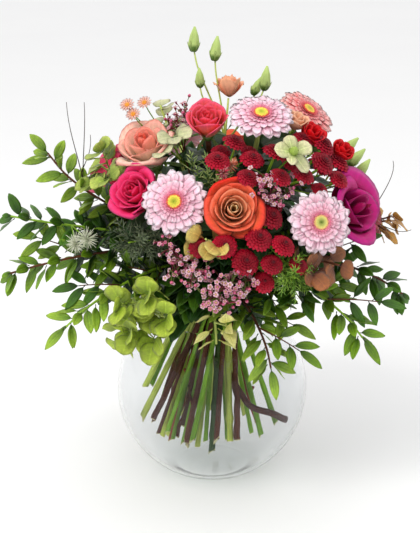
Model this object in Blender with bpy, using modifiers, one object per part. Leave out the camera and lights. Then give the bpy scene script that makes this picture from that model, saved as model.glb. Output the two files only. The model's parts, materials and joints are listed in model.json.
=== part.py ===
"""Hand-tied bouquet of gerberas, roses, santini and foliage in a round glass bowl vase.

Metres, +Z up. The origin is the centre of the vase's flat base, and -Y is the bouquet's front.
A bearing turns from the front towards +X, and an elevation rises from the level.
"""

import math

import bmesh
import bpy
import numpy as np
from mathutils import Vector
from mathutils.bvhtree import BVHTree

# Vase
BOWL_RADIUS = 0.100
BASE_RADIUS = 0.038
MOUTH_RADIUS = 0.060
WALL = 0.003
FLOOR_WALL = 0.006
VASE_STEPS = 32
ARC_STEPS = 10
BOWL_CENTRE = math.sqrt(BOWL_RADIUS**2 - BASE_RADIUS**2)
RIM_HEIGHT = BOWL_CENTRE + math.sqrt(BOWL_RADIUS**2 - MOUTH_RADIUS**2)

# Tie
TIE_ABOVE_RIM = 0.024
TIE_HEIGHT = RIM_HEIGHT + TIE_ABOVE_RIM
TIE_THICKNESS = 0.0026
TIE_WIDTH = 0.008
TIE_CLEARANCE = 0.0006
TIE_STEPS = 28
TIE_RISE = 0.016
BUNDLE_RADIUS = 0.022

# Stems
GAP = 0.0012
SPIRAL_ABOVE = math.radians(32)
SPIRAL_BELOW = math.radians(38)
FOOT_LOW = 0.030
FOOT_HIGH = 0.085
FOOT_SPREAD = 0.088
FOOT_FAN = 0.55
GERBERA_STEM = 0.0029
ROSE_STEM = 0.0034
PLAIN_STEP = 0.026
NODE_LENGTH = 0.0022
TWIG_STAND = 0.004
STEM_SEAT = 0.0004
# Heights below and above the rim between which stems keep to the mouth
MOUTH_BELOW = 0.010
MOUTH_ABOVE = 0.006
MOUTH_EDGE = 0.004

# Bouquet
HEART = np.array([0.0, 0.0, TIE_HEIGHT])
WIDEST = math.radians(105)


def unit(vector):
    return vector / np.linalg.norm(vector)


def direction(bearing, elevation):
    b, e = math.radians(bearing), math.radians(elevation)
    return np.array([math.sin(b) * math.cos(e), -math.cos(b) * math.cos(e), math.sin(e)])


# Every centre and tip below has its height above the vase's rim.

# Blooms. Each row is: kind, centre of the bloom, bearing and elevation that it faces, radius.
BLOOMS = {
    "gerbera_1": ("gerbera", (-0.032, -0.112, 0.1495), -8, 28, 0.031),
    "gerbera_2": ("gerbera", (0.092, -0.114, 0.1295), 12, 22, 0.030),
    "gerbera_3": ("gerbera", (0.046, -0.052, 0.2185), 8, 62, 0.032),
    "gerbera_4": ("gerbera", (0.094, -0.002, 0.2135), 55, 52, 0.030),
    "gerbera_5": ("gerbera", (-0.038, 0.098, 0.1655), 200, 35, 0.031),
    "gerbera_6": ("gerbera", (0.076, 0.108, 0.1235), 150, 22, 0.030),
    "rose_1": ("rose", (-0.064, -0.044, 0.1895), -35, 58, 0.027),
    "rose_2": ("rose", (0.022, -0.118, 0.1455), 5, 25, 0.024),
    "rose_3": ("rose", (-0.006, -0.046, 0.2135), -5, 60, 0.019),
    "rose_4": ("rose", (-0.072, -0.086, 0.1535), -35, 35, 0.022),
    "rose_5": ("rose", (0.136, -0.064, 0.1375), 50, 22, 0.029),
    "rose_6": ("rose", (0.158, -0.014, 0.1115), 75, 12, 0.022),
    "rose_7": ("rose", (0.016, 0.116, 0.1455), 180, 28, 0.025),
    "rose_8": ("rose", (-0.104, 0.054, 0.1435), 238, 28, 0.026),
}

# Sprays of small heads on forked stems. Each head is its centre and radius; the first leads.
SPRAYS = {
    "santini_1": ("santini", [((0.005, -0.096, 0.1875), 0.011), ((0.024, -0.082, 0.1995), 0.011),
                              ((0.036, -0.094, 0.1855), 0.011), ((0.033, -0.106, 0.1735), 0.010)]),
    "santini_2": ("santini", [((0.057, -0.084, 0.1915), 0.012), ((0.063, -0.104, 0.1725), 0.010),
                              ((0.086, -0.090, 0.1715), 0.010)]),
    "santini_3": ("santini", [((0.106, -0.052, 0.1915), 0.012), ((0.090, -0.056, 0.1975), 0.010),
                              ((0.108, -0.070, 0.1775), 0.012), ((0.122, -0.044, 0.1735), 0.012),
                              ((0.120, -0.068, 0.1615), 0.010)]),
    "santini_4": ("santini", [((0.052, -0.116, 0.1395), 0.012), ((0.044, -0.130, 0.1235), 0.012),
                              ((0.064, -0.128, 0.1175), 0.011), ((0.014, -0.134, 0.1135), 0.011),
                              ((0.030, -0.136, 0.1015), 0.012)]),
    "santini_5": ("santini", [((-0.060, 0.070, 0.1775), 0.012), ((-0.084, 0.060, 0.1655), 0.011),
                              ((-0.076, 0.086, 0.1535), 0.011), ((-0.050, 0.108, 0.1235), 0.012)]),
    "santini_6": ("santini", [((0.078, 0.064, 0.1835), 0.012), ((0.096, 0.080, 0.1615), 0.011),
                              ((0.110, 0.058, 0.1655), 0.012), ((0.046, 0.096, 0.1635), 0.010)]),
    "lisianthus_1": ("lisianthus", [((0.017, 0.012, 0.2355), 0.013), ((0.003, 0.014, 0.2675), 0.006),
                                    ((-0.018, 0.014, 0.2765), 0.006), ((-0.012, 0.004, 0.2415), 0.005),
                                    ((0.052, 0.006, 0.2395), 0.006), ((0.043, 0.016, 0.2315), 0.005)]),
    "lisianthus_2": ("lisianthus", [((0.140, -0.004, 0.1635), 0.006), ((0.146, -0.012, 0.1535), 0.006),
                                    ((0.134, 0.008, 0.1725), 0.006)]),
    "waxflower_1": ("waxflower", [((-0.030, -0.132, 0.1035), 0.004), ((-0.014, -0.138, 0.0955), 0.004),
                                  ((-0.044, -0.124, 0.1175), 0.004), ((-0.020, -0.140, 0.0815), 0.004),
                                  ((-0.040, -0.130, 0.0915), 0.004), ((-0.004, -0.136, 0.0895), 0.004)]),
    "waxflower_2": ("waxflower", [((0.018, -0.146, 0.0835), 0.004), ((0.030, -0.142, 0.0735), 0.004),
                                  ((0.004, -0.146, 0.0755), 0.004), ((0.014, -0.146, 0.0635), 0.004),
                                  ((0.034, -0.138, 0.0855), 0.004), ((-0.004, -0.144, 0.0655), 0.004)]),
    "waxflower_3": ("waxflower", [((0.056, -0.108, 0.1615), 0.004), ((0.046, -0.106, 0.1695), 0.004),
                                  ((0.060, -0.112, 0.1515), 0.004), ((0.074, -0.100, 0.1635), 0.004),
                                  ((0.050, -0.112, 0.1555), 0.004), ((0.048, -0.114, 0.1795), 0.004)]),
    "waxflower_4": ("waxflower", [((-0.034, -0.030, 0.2135), 0.004), ((-0.022, -0.034, 0.2175), 0.004),
                                  ((-0.044, -0.020, 0.2115), 0.004), ((-0.028, -0.014, 0.2215), 0.004)]),
}

# Leafy branches. Each row is: kind, tip, direction of the tip as bearing and elevation, leaf
# length, leaf width, spacing of the leaf pairs, length of the leafy stretch.
BRANCHES = {
    "ruscus_1": ("ruscus", (-0.160, -0.030, 0.1775), -80, 60, 0.028, 0.011, 0.016, 0.138),
    "ruscus_2": ("ruscus", (-0.196, -0.050, 0.1195), -80, 15, 0.028, 0.011, 0.016, 0.143),
    "ruscus_3": ("ruscus", (-0.196, -0.070, 0.0675), -72, -12, 0.028, 0.011, 0.016, 0.143),
    "ruscus_4": ("ruscus", (-0.140, -0.100, 0.0235), -58, -38, 0.028, 0.011, 0.016, 0.128),
    "ruscus_5": ("ruscus", (0.188, -0.056, 0.0415), 72, -35, 0.028, 0.011, 0.016, 0.138),
    "ruscus_6": ("ruscus", (0.144, -0.104, 0.0135), 48, -48, 0.028, 0.011, 0.016, 0.128),
    "ruscus_7": ("ruscus", (0.056, -0.116, -0.0125), 22, -72, 0.028, 0.011, 0.016, 0.098),
    "ruscus_8": ("ruscus", (0.120, 0.132, 0.0415), 140, -25, 0.028, 0.011, 0.016, 0.133),
    "ruscus_9": ("ruscus", (-0.128, 0.128, 0.0535), 222, -20, 0.028, 0.011, 0.016, 0.133),
    "eucalyptus_1": ("eucalyptus", (-0.092, -0.086, -0.0005), -50, -60, 0.024, 0.021, 0.013, 0.090),
    "eucalyptus_2": ("eucalyptus", (-0.112, -0.022, 0.1655), -80, 40, 0.021, 0.018, 0.016, 0.075),
    "eucalyptus_3": ("eucalyptus", (-0.052, 0.018, 0.2155), -60, 70, 0.021, 0.018, 0.016, 0.060),
    "eucalyptus_4": ("eucalyptus", (0.118, -0.112, 0.0895), 35, 5, 0.022, 0.018, 0.015, 0.070),
    "eucalyptus_5": ("eucalyptus", (-0.006, -0.128, 0.1195), -4, 20, 0.022, 0.018, 0.014, 0.045),
    "eucalyptus_6": ("eucalyptus", (0.188, 0.004, 0.0995), 80, 5, 0.020, 0.014, 0.016, 0.070),
    "eucalyptus_7": ("eucalyptus", (0.004, -0.100, 0.0055), 2, -70, 0.024, 0.013, 0.012, 0.040),
    "fern_1": ("fern", (0.076, -0.132, 0.0835), 22, -5, 0.014, 0.005, 0.009, 0.055),
    "fern_2": ("fern", (-0.078, -0.106, 0.1095), -35, 5, 0.014, 0.005, 0.009, 0.060),
}

# Colours as linear RGB with a roughness
LOOKS = {
    "glass": ((0.80, 0.84, 0.86), 0.05), "twine": ((0.32, 0.22, 0.11), 0.9),
    "stem": ((0.12, 0.24, 0.05), 0.6), "wood": ((0.10, 0.045, 0.02), 0.75),
    "gerbera": ((0.80, 0.42, 0.55), 0.6), "rose": ((0.75, 0.10, 0.05), 0.6),
    "santini": ((0.26, 0.006, 0.02), 0.65), "lisianthus": ((0.32, 0.50, 0.10), 0.6),
    "waxflower": ((0.65, 0.25, 0.33), 0.6), "ruscus": ((0.05, 0.22, 0.02), 0.5),
    "eucalyptus": ((0.30, 0.38, 0.08), 0.55), "fern": ((0.16, 0.34, 0.04), 0.6),
}
# Radius of a spray's or branch's stem at its foot and at its tip
THICKNESS = {
    "santini": (0.0024, 0.0012), "lisianthus": (0.0024, 0.0010), "waxflower": (0.0020, 0.0007),
    "ruscus": (0.0030, 0.0009), "eucalyptus": (0.0034, 0.0010), "fern": (0.0022, 0.0008),
}

# How far below its leading head a spray forks
FORK = {"santini": 0.040, "lisianthus": 0.034, "waxflower": 0.030}
FORK_STEP = 0.0045

# Heads, as shares of their radius: rings are (ahead of the centre, width), from the neck forward
GERBERA_RINGS = ((-0.42, 0.11), (-0.22, 0.31), (0.0, 1.0), (0.10, 0.97), (0.18, 0.40), (0.21, 0.26))
GERBERA_CORNERS = 20
PETAL_NOTCH = 0.87
ROSE_RINGS = ((-1.30, 0.17), (-1.0, 0.55), (-0.35, 0.92), (0.30, 1.0), (0.62, 0.86), (0.44, 0.62),
              (0.66, 0.38))
ROSE_CORNERS = 10
NECK = {"gerbera": 0.42, "rose": 1.30}
BALLS = {
    "rose": [((0, 0, -0.15), 0.95), ((0, 0, -0.75), 0.66), ((0, 0, 0.2), 0.9)],
    "gerbera": ([((0, 0, -0.16), 0.20), ((0, 0, 0.05), 0.22)]
                + [((0.84 * math.cos(k * math.pi / 5), 0.84 * math.sin(k * math.pi / 5), 0.05), 0.17)
                   for k in range(10)]
                + [((0.48 * math.cos(k * math.pi / 3), 0.48 * math.sin(k * math.pi / 3), 0.04), 0.19)
                   for k in range(6)]),
}
HEAD_RINGS = {
    "santini": ((-0.60, 0.35), (0.0, 1.0), (0.50, 0.72)),
    "bud": ((-1.2, 0.45), (0.0, 1.0), (2.2, 0.25)),
    "open": ((-0.9, 0.30), (0.1, 0.90), (0.6, 1.0)),
    "waxflower": ((-1.0, 0.40), (0.0, 1.0), (0.9, 0.50)),
}
OPEN_BLOOM = 0.009

# Leaves
LEAF_STAND = 0.0016
STALKED = 0.15
LEAF_HALF = 0.0007
LEAF_TIP_HALF = 0.0003
STALK_HALF = 0.0006
LAST_PAIR = 0.004
CLEAR = 0.0004
TURNS = [math.radians(a) for a in (0, 20, -20, 40, -40, 65, -65, 90, -90)]
LEAN = {"ruscus": math.radians(52), "eucalyptus": math.radians(68), "fern": math.radians(60)}
PETIOLE = {"ruscus": 0.10, "eucalyptus": 0.22, "fern": 0.10}

SETTLE_ROUNDS = 200
TWIG_ROUNDS = 120
COLLECTION = "gerbera_bouquet"


def curve_between(start, end, leave, arrive, count):
    """Points of a cubic from start to end with the given end tangents."""
    t = np.linspace(0, 1, count)[:, None]
    return ((2 * t**3 - 3 * t**2 + 1) * start + (t**3 - 2 * t**2 + t) * leave
            + (3 * t**2 - 2 * t**3) * end + (t**3 - t**2) * arrive)


def over_rim(point):
    """A place in the vase's frame, from one whose height is above the rim."""
    return np.array(point) + [0, 0, RIM_HEIGHT]


def polar(point):
    """How far a point leans from straight above the tie, as a share of WIDEST."""
    lean = unit(np.asarray(point) - HEART)
    return min(math.acos(lean[2]) / WIDEST, 1.0)


def main_line(head, facing, order):
    """The rest line of one stem, from its cut foot through the tie to its head."""
    share = polar(head)
    bearing = math.atan2(head[0], -head[1])
    slot_bearing = bearing - SPIRAL_ABOVE
    foot_bearing = slot_bearing - SPIRAL_BELOW
    scatter = (order * 0.618034) % 1.0
    slot = HEART + BUNDLE_RADIUS * share * np.array([math.sin(slot_bearing), -math.cos(slot_bearing), 0])
    height = FOOT_LOW + (FOOT_HIGH - FOOT_LOW) * (0.35 * scatter + 0.65 * share**2)
    reach = FOOT_SPREAD * (0.10 + 0.90 * share**FOOT_FAN) * (0.86 + 0.14 * scatter)
    foot = np.array([reach * math.sin(foot_bearing), -reach * math.cos(foot_bearing), height])
    below = curve_between(foot, slot, (slot - foot) * 0.9, (slot - foot) * 1.1, 7)
    top = slot * np.array([1.12, 1.12, 1]) + np.array([0, 0, TIE_RISE])
    span = np.linalg.norm(head - top)
    rise = unit(slot - foot) + np.array([0, 0, 0.9])
    above = curve_between(top, head, unit(rise) * span * 0.8, facing * span * 1.15, 10)
    return np.vstack([below, above])


def closest(p1, q1, p2, q2):
    """Shares along two sets of segments at which they come closest."""
    d1, d2, r = q1 - p1, q2 - p2, p1 - p2
    a, e = (d1 * d1).sum(1) + 1e-12, (d2 * d2).sum(1) + 1e-12
    b, c, f = (d1 * d2).sum(1), (d1 * r).sum(1), (d2 * r).sum(1)
    s = np.clip((b * f - c * e) / (a * e - b * b + 1e-14), 0, 1)
    t = np.clip((b * s + f) / e, 0, 1)
    return np.clip((b * t - c) / a, 0, 1), t


class Crowd:
    """Stem lines and heads that push one another aside until each has room."""

    def __init__(self):
        self.names, self.points, self.radii = [], [], []
        self.held, self.spans, self.plants, self.bodies = [], [], [], []
        self.ball_body, self.ball_offset, self.ball_radius = [], [], []
        self.body_names, self.body_place, self.body_plant, self.body_free = [], [], [], []

    def add_head(self, name, plant, centre, balls, free=True):
        self.body_names.append(name)
        self.body_place.append(centre)
        self.body_plant.append(plant)
        self.body_free.append(free)
        for offset, radius in balls:
            self.ball_body.append(len(self.body_names) - 1)
            self.ball_offset.append(offset)
            self.ball_radius.append(radius)

    def add_line(self, name, plant, points, radii, held, head=None):
        first = sum(len(p) for p in self.points)
        self.names.append(name)
        self.points.append(points)
        self.radii.append(radii)
        self.held.append(held)
        self.plants.append(plant)
        self.bodies.append(-1 if head is None else self.body_names.index(head))
        self.spans.append((first, first + len(points)))

    def settle(self, rounds):
        P = np.vstack(self.points)
        R = np.concatenate(self.radii)
        fixed = np.concatenate(self.held)
        ends = [np.arange(a, b - 1) for a, b in self.spans]
        A = np.concatenate(ends)
        owner = np.concatenate([np.full(len(e), self.plants[i]) for i, e in enumerate(ends)])
        thick = np.maximum(R[A], R[A + 1])
        middle = np.array([i for a, b in self.spans for i in range(a + 1, b - 1)])
        bend = P[middle] - (P[middle - 1] + P[middle + 1]) / 2
        place = np.array(self.body_place, float).reshape(-1, 3)
        wish = place.copy()
        b_plant, b_free = np.array(self.body_plant), np.array(self.body_free, float)
        o_body = np.array(self.ball_body, int)
        o_off, o_rad = np.array(self.ball_offset).reshape(-1, 3), np.array(self.ball_radius)
        for step in range(rounds):
            last = step >= rounds - 40
            if step % 8 == 0:
                mid, half = (P[A] + P[A + 1]) / 2, np.linalg.norm(P[A + 1] - P[A], axis=1) / 2
                far = np.linalg.norm(mid[:, None] - mid[None], axis=2)
                near = far < half[:, None] + half[None] + thick[:, None] + thick[None] + 0.008
                near &= owner[:, None] != owner[None]
                first, second = np.nonzero(np.triu(near, 1))
            move, hits = np.zeros_like(P), np.full(len(P), 1e-9)
            shift, knocks = np.zeros_like(place), np.full(len(place), 1e-9)
            # Stem against stem
            i, j = A[first], A[second]
            s, t = closest(P[i], P[i + 1], P[j], P[j + 1])
            between = (P[i] * (1 - s)[:, None] + P[i + 1] * s[:, None]
                       - P[j] * (1 - t)[:, None] - P[j + 1] * t[:, None])
            away = np.linalg.norm(between, axis=1)
            short = thick[first] + thick[second] + GAP - away
            hit = short > 0
            push = between[hit] / (away[hit, None] + 1e-9) * (short[hit, None] * 0.6)
            for ends_of, share, sign in ((i[hit], s[hit], 1), (j[hit], t[hit], -1)):
                for step_on, weight in ((0, 1 - share), (1, share)):
                    np.add.at(move, ends_of + step_on, sign * push * weight[:, None])
                    np.add.at(hits, ends_of + step_on, weight)
            # Stem against head
            if len(o_body):
                centres = place[o_body] + o_off
                d = P[A + 1] - P[A]
                w = ((centres[None] - P[A][:, None]) * d[:, None]).sum(2) / ((d * d).sum(1)[:, None] + 1e-12)
                w = np.clip(w, 0, 1)
                between = P[A][:, None] + w[:, :, None] * d[:, None] - centres[None]
                away = np.linalg.norm(between, axis=2)
                short = thick[:, None] + o_rad[None] + GAP - away
                hit = (short > 0) & (owner[:, None] != b_plant[o_body][None])
                k, m = np.nonzero(hit)
                push = between[k, m] / (away[k, m, None] + 1e-9) * short[k, m, None]
                for step_on, weight in ((0, 1 - w[k, m]), (1, w[k, m])):
                    np.add.at(move, A[k] + step_on, 0.8 * push * weight[:, None])
                    np.add.at(hits, A[k] + step_on, weight)
                np.add.at(shift, o_body[m], -0.25 * push)
                np.add.at(knocks, o_body[m], 1)
                # Head against head
                between = centres[:, None] - centres[None]
                away = np.linalg.norm(between, axis=2)
                short = o_rad[:, None] + o_rad[None] + GAP - away
                k, m = np.nonzero((short > 0) & (o_body[:, None] != o_body[None]))
                push = between[k, m] / (away[k, m, None] + 1e-9) * short[k, m, None]
                np.add.at(shift, o_body[k], 0.5 * push)
                np.add.at(knocks, o_body[k], 1)
            P = P + np.where(fixed[:, None], 0, move / np.maximum(hits, 1)[:, None])
            if len(place):
                change = b_free[:, None] * shift / np.maximum(knocks, 1)[:, None]
                if not last:
                    change += 0.02 * b_free[:, None] * (wish - place)
                place = place + change
                for (a, b), body in zip(self.spans, self.bodies):
                    if body >= 0:
                        P[b - 2:b] += change[body]
            if not last:
                pull = bend + (P[middle - 1] + P[middle + 1]) / 2 - P[middle]
                P[middle] += np.where(fixed[middle][:, None], 0, 0.35 * pull)
            P = np.where(fixed[:, None], P, inside_vase(P, R))
        self.points = [P[a:b] for a, b in self.spans]
        self.body_place = place
        return {n: p for n, p in zip(self.names, self.points)}, dict(zip(self.body_names, place))


def inside_vase(points, radii):
    """Points moved off the glass, in the bowl and in its mouth."""
    points = points.copy()
    level = np.minimum(np.maximum(points[:, 2], 0), RIM_HEIGHT + MOUTH_EDGE)
    inner = BOWL_RADIUS - WALL
    room = np.sqrt(np.maximum(inner**2 - (level - BOWL_CENTRE) ** 2, 0)) - radii - 2 * GAP
    mouth = MOUTH_RADIUS - WALL - radii - 2 * GAP
    room = np.where(points[:, 2] > RIM_HEIGHT - MOUTH_BELOW, mouth, room)
    across = np.hypot(points[:, 0], points[:, 1]) + 1e-12
    inside = (points[:, 2] < RIM_HEIGHT + MOUTH_ABOVE) & (across > room) & (across < BOWL_RADIUS * 0.9)
    scale = np.where(inside & (across < MOUTH_RADIUS + MOUTH_EDGE), room / across, 1)
    scale = np.where(inside & (points[:, 2] < RIM_HEIGHT - MOUTH_BELOW), room / across, scale)
    points[:, :2] *= scale[:, None]
    return points


# Routes and rings


def smoothed(points, per=5):
    """A fine line through the points, as a Catmull-Rom curve."""
    padded = np.vstack([2 * points[0] - points[1], points, 2 * points[-1] - points[-2]])
    fine = []
    for a, b, c, d in zip(padded, padded[1:], padded[2:], padded[3:]):
        for t in np.arange(per) / per:
            fine.append(0.5 * (2 * b + (c - a) * t + (2 * a - 5 * b + 4 * c - d) * t**2
                               + (3 * b - a - 3 * c + d) * t**3))
    return np.vstack([fine, points[-1]])


class Route:
    """A line that can be asked for its place and frame at any length along it."""

    def __init__(self, points, radii):
        self.line = smoothed(points)
        steps = np.linalg.norm(np.diff(self.line, axis=0), axis=1)
        self.at = np.concatenate([[0], np.cumsum(steps)])
        self.length = self.at[-1]
        coarse = np.linspace(0, 1, len(radii))
        self.radii = np.interp(np.linspace(0, 1, len(self.line)), coarse, radii)
        tangents = np.gradient(self.line, axis=0)
        tangents /= np.linalg.norm(tangents, axis=1)[:, None]
        side = unit(np.cross(tangents[0], [0.31, 0.95, 0.05]))
        sides = []
        for tangent in tangents:
            side = unit(side - tangent * (side @ tangent))
            sides.append(side)
        self.tangents, self.sides = tangents, np.array(sides)

    def place(self, s):
        return np.array([np.interp(s, self.at, self.line[:, k]) for k in range(3)])

    def radius(self, s):
        return float(np.interp(s, self.at, self.radii))

    def frame(self, s):
        ahead = unit(np.array([np.interp(s, self.at, self.tangents[:, k]) for k in range(3)]))
        side = np.array([np.interp(s, self.at, self.sides[:, k]) for k in range(3)])
        side = unit(side - ahead * (side @ ahead))
        return ahead, side, np.cross(ahead, side)


def ring(centre, across, up, width, height, count=4, turn=0.0):
    """Corners on an ellipse, anticlockwise about across x up."""
    angles = turn + np.arange(count) * 2 * math.pi / count
    return (centre + np.cos(angles)[:, None] * across * width
            + np.sin(angles)[:, None] * up * height)


class Member:
    """A stem, twig, leaf or head as a run of rings, with the members that grow from its sides."""

    def __init__(self, rings, outward=None):
        self.rings, self.outward, self.children = list(rings), outward, {}

    def shell(self):
        """Corners and faces of the member alone, for testing what it would touch."""
        points, faces, base = [], [], 0
        for index, corners in enumerate(self.rings):
            count = len(corners)
            points += [Vector(p) for p in corners]
            if index and len(self.rings[index - 1]) == count:
                for k in range(count):
                    n = (k + 1) % count
                    faces.append((base - count + k, base - count + n, base + n, base + k))
            base += count
        faces.append(tuple(range(len(self.rings[0]))))
        faces.append(tuple(range(base - len(self.rings[-1]), base)))
        return points, faces


def lay(face, corners):
    """Put the face's corners on the given ones, with the least twist."""
    verts = [loop.vert for loop in face.loops]
    now = np.array([v.co for v in verts])
    middle = corners.mean(axis=0) - now.mean(axis=0)
    count = len(verts)
    turns = [np.roll(corners, -k, axis=0) for k in range(count)]
    best = min(turns, key=lambda c: ((c - now - middle) ** 2).sum())
    for vert, corner in zip(verts, best):
        vert.co = corner


def grow(bm, face, member):
    """Draw a face out through the member's rings, and its children out of its sides."""
    for index, corners in enumerate(member.rings):
        if len(corners) == 2 * len(face.verts):
            for edge in list(face.edges):
                bmesh.utils.edge_split(edge, edge.verts[0], 0.5)
        face = bmesh.ops.extrude_discrete_faces(bm, faces=[face])["faces"][0]
        lay(face, corners)
        for child in member.children.get(index, ()):
            around = [f for e in face.edges for f in e.link_faces if f is not face]
            for f in around:
                f.normal_update()
            side = max(around, key=lambda f: f.normal.dot(Vector(child.outward)))
            grow(bm, side, child)


def body_of(name, member, look):
    """The object that one grown member and all its children make."""
    first, second = member.rings[0], member.rings[1]
    bm = bmesh.new()
    made = bmesh.ops.create_cone(bm, cap_ends=True, segments=len(first), radius1=1, radius2=1, depth=2)
    top = max(bm.faces, key=lambda f: f.calc_center_median().z)
    levels = [sorted((v for v in made["verts"] if v.co.z * sign > 0),
                     key=lambda v: math.atan2(v.co.y, v.co.x)) for sign in (-1, 1)]
    for verts, corners in zip(levels, (first, second)):
        for vert, corner in zip(verts, corners):
            vert.co = corner
    rest = Member(member.rings[2:])
    rest.children = {index - 2: value for index, value in member.children.items()}
    grow(bm, top, rest)
    mesh = bpy.data.meshes.new(name)
    bm.to_mesh(mesh)
    bm.free()
    return add_object(name, mesh, look)


# Objects and materials


def look_of(name):
    """The material for a kind of piece."""
    if name in bpy.data.materials:
        return bpy.data.materials[name]
    colour, roughness = LOOKS[name]
    made = bpy.data.materials.new(name)
    made.use_nodes = True
    shader = made.node_tree.nodes["Principled BSDF"]
    shader.inputs["Base Color"].default_value = (*colour, 1)
    shader.inputs["Roughness"].default_value = roughness
    shader.inputs["Metallic"].default_value = 0
    shader.inputs["Transmission Weight"].default_value = 1.0 if name == "glass" else 0.0
    return made


def add_object(name, data, look, smooth=True):
    made = bpy.data.objects.new(name, data)
    made.data.materials.append(look_of(look))
    bpy.data.collections[COLLECTION].objects.link(made)
    if smooth and isinstance(data, bpy.types.Mesh):
        data.shade_smooth()
        data.set_sharp_from_angle(angle=math.radians(40))
    return made


def turned(name, profile, steps, look):
    """A shape turned about Z from (radius, height) points that run down its outer side."""
    mesh = bpy.data.meshes.new(name)
    edges = [(k, k + 1) for k in range(len(profile) - 1)]
    mesh.from_pydata([(r, 0, z) for r, z in profile], edges, [])
    made = add_object(name, mesh, look, smooth=False)
    screw = made.modifiers.new("turn", "SCREW")
    screw.steps = screw.render_steps = steps
    screw.use_merge_vertices = True
    screw.merge_threshold = 0.00001
    screw.use_smooth_shade = True
    return made


def arc(radius, centre_height, start, end, steps):
    """Points of a vertical arc about a centre on the axis, from one elevation to another."""
    angles = np.linspace(start, end, steps + 1)
    return [(radius * math.cos(a), centre_height + radius * math.sin(a)) for a in angles]


def glass_vase():
    inner = BOWL_RADIUS - WALL
    floor = math.asin((FLOOR_WALL - BOWL_CENTRE) / inner)
    rim = math.acos(MOUTH_RADIUS / BOWL_RADIUS)
    inside = arc(inner, BOWL_CENTRE, floor, rim, ARC_STEPS)
    outside = arc(BOWL_RADIUS, BOWL_CENTRE, rim, -math.acos(BASE_RADIUS / BOWL_RADIUS), ARC_STEPS)
    middle = BOWL_RADIUS - WALL / 2
    lip = [(middle * math.cos(rim) + WALL / 2 * math.cos(rim + turn),
            BOWL_CENTRE + middle * math.sin(rim) + WALL / 2 * math.sin(rim + turn))
           for turn in (math.radians(135), math.radians(90), math.radians(45))]
    return turned("glass_vase", [(0, FLOOR_WALL), *inside, *lip, *outside, (0, 0)], VASE_STEPS, "glass")


def twine_tie(lines, radii):
    """A ring of twine that clears the outermost stem at its height."""
    reach = 0
    for name, points in lines.items():
        route = Route(points, radii[name])
        risen = int(np.argmax(route.line[:, 2] > TIE_HEIGHT + TIE_WIDTH))
        near = np.abs(route.line[:, 2] - TIE_HEIGHT) < TIE_WIDTH
        near[risen:] = False
        if near.any():
            across = np.hypot(route.line[near, 0], route.line[near, 1])
            reach = max(reach, float((across + route.radii[near]).max()))
    inner = (reach + TIE_CLEARANCE) / math.cos(math.pi / TIE_STEPS)
    half = TIE_WIDTH / 2
    bevel = TIE_THICKNESS / 3
    outer = inner + TIE_THICKNESS
    top, bottom = TIE_HEIGHT + half, TIE_HEIGHT - half
    profile = [(inner, top), (outer - bevel, top), (outer, top - bevel), (outer, bottom + bevel),
               (outer - bevel, bottom), (inner, bottom), (inner, top)]
    return turned("twine_tie", profile, TIE_STEPS, "twine")


def tube(name, points, radii, look):
    """A round stem through the points."""
    route = Route(points, radii)
    data = bpy.data.curves.new(name, "CURVE")
    data.dimensions = "3D"
    data.bevel_depth = 1.0
    data.bevel_resolution = 1
    data.use_fill_caps = True
    spline = data.splines.new("POLY")
    stations = np.linspace(0, route.length, max(4, round(route.length / PLAIN_STEP)) + 1)
    spline.points.add(len(stations) - 1)
    for point, s in zip(spline.points, stations):
        point.co = (*route.place(s), 1)
        point.radius = route.radius(s)
    return add_object(name, data, look)


# Heads


def head_frame(facing):
    up = unit(np.array([0, 0, 1.0]) - facing * facing[2])
    return np.cross(up, facing), up


def head_kind(kind, radius):
    if kind == "lisianthus":
        return "open" if radius > OPEN_BLOOM else "bud"
    return kind


def bloom_member(kind, centre, facing, radius):
    across, up = head_frame(facing)
    if kind == "rose":
        return Member(ring(centre + facing * radius * ahead, across, up, radius * wide, radius * wide,
                           ROSE_CORNERS) for ahead, wide in ROSE_RINGS)
    rings = []
    for ahead, wide in GERBERA_RINGS:
        corners = ring(np.zeros(3), across, up, radius * wide, radius * wide, GERBERA_CORNERS)
        if wide > 0.9:
            corners[1::2] *= PETAL_NOTCH
        rings.append(corners + centre + facing * radius * ahead)
    return Member(rings)


def spray_head_rings(kind, centre, facing, radius):
    across, up = head_frame(facing)
    shape = head_kind(kind, radius)
    corners = 4 if kind == "waxflower" else 8
    return [ring(centre + facing * radius * ahead, across, up, radius * wide, radius * wide, corners)
            for ahead, wide in HEAD_RINGS[shape]]


def spray_facing(centre):
    return unit(unit(centre - HEART) + np.array([0, 0, 0.15]))


# Plants


def stem_member(route, nodes, start=0.0, corners=4):
    """A stem's rings, with a short stretch at each node for what grows there."""
    marks = {}
    stations = [start]
    for s in sorted(nodes):
        while s - stations[-1] > PLAIN_STEP * 1.4:
            stations.append(stations[-1] + PLAIN_STEP)
        stations += [s - NODE_LENGTH / 2, s + NODE_LENGTH / 2]
        marks[s] = len(stations) - 1
    while route.length - stations[-1] > PLAIN_STEP * 1.4:
        stations.append(stations[-1] + PLAIN_STEP)
    stations.append(route.length)
    rings = []
    for s in stations:
        _, across, up = route.frame(s)
        thick = route.radius(s)
        rings.append(ring(route.place(s), across, up, thick, thick, corners, math.pi / corners))
    return Member(rings), marks


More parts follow.
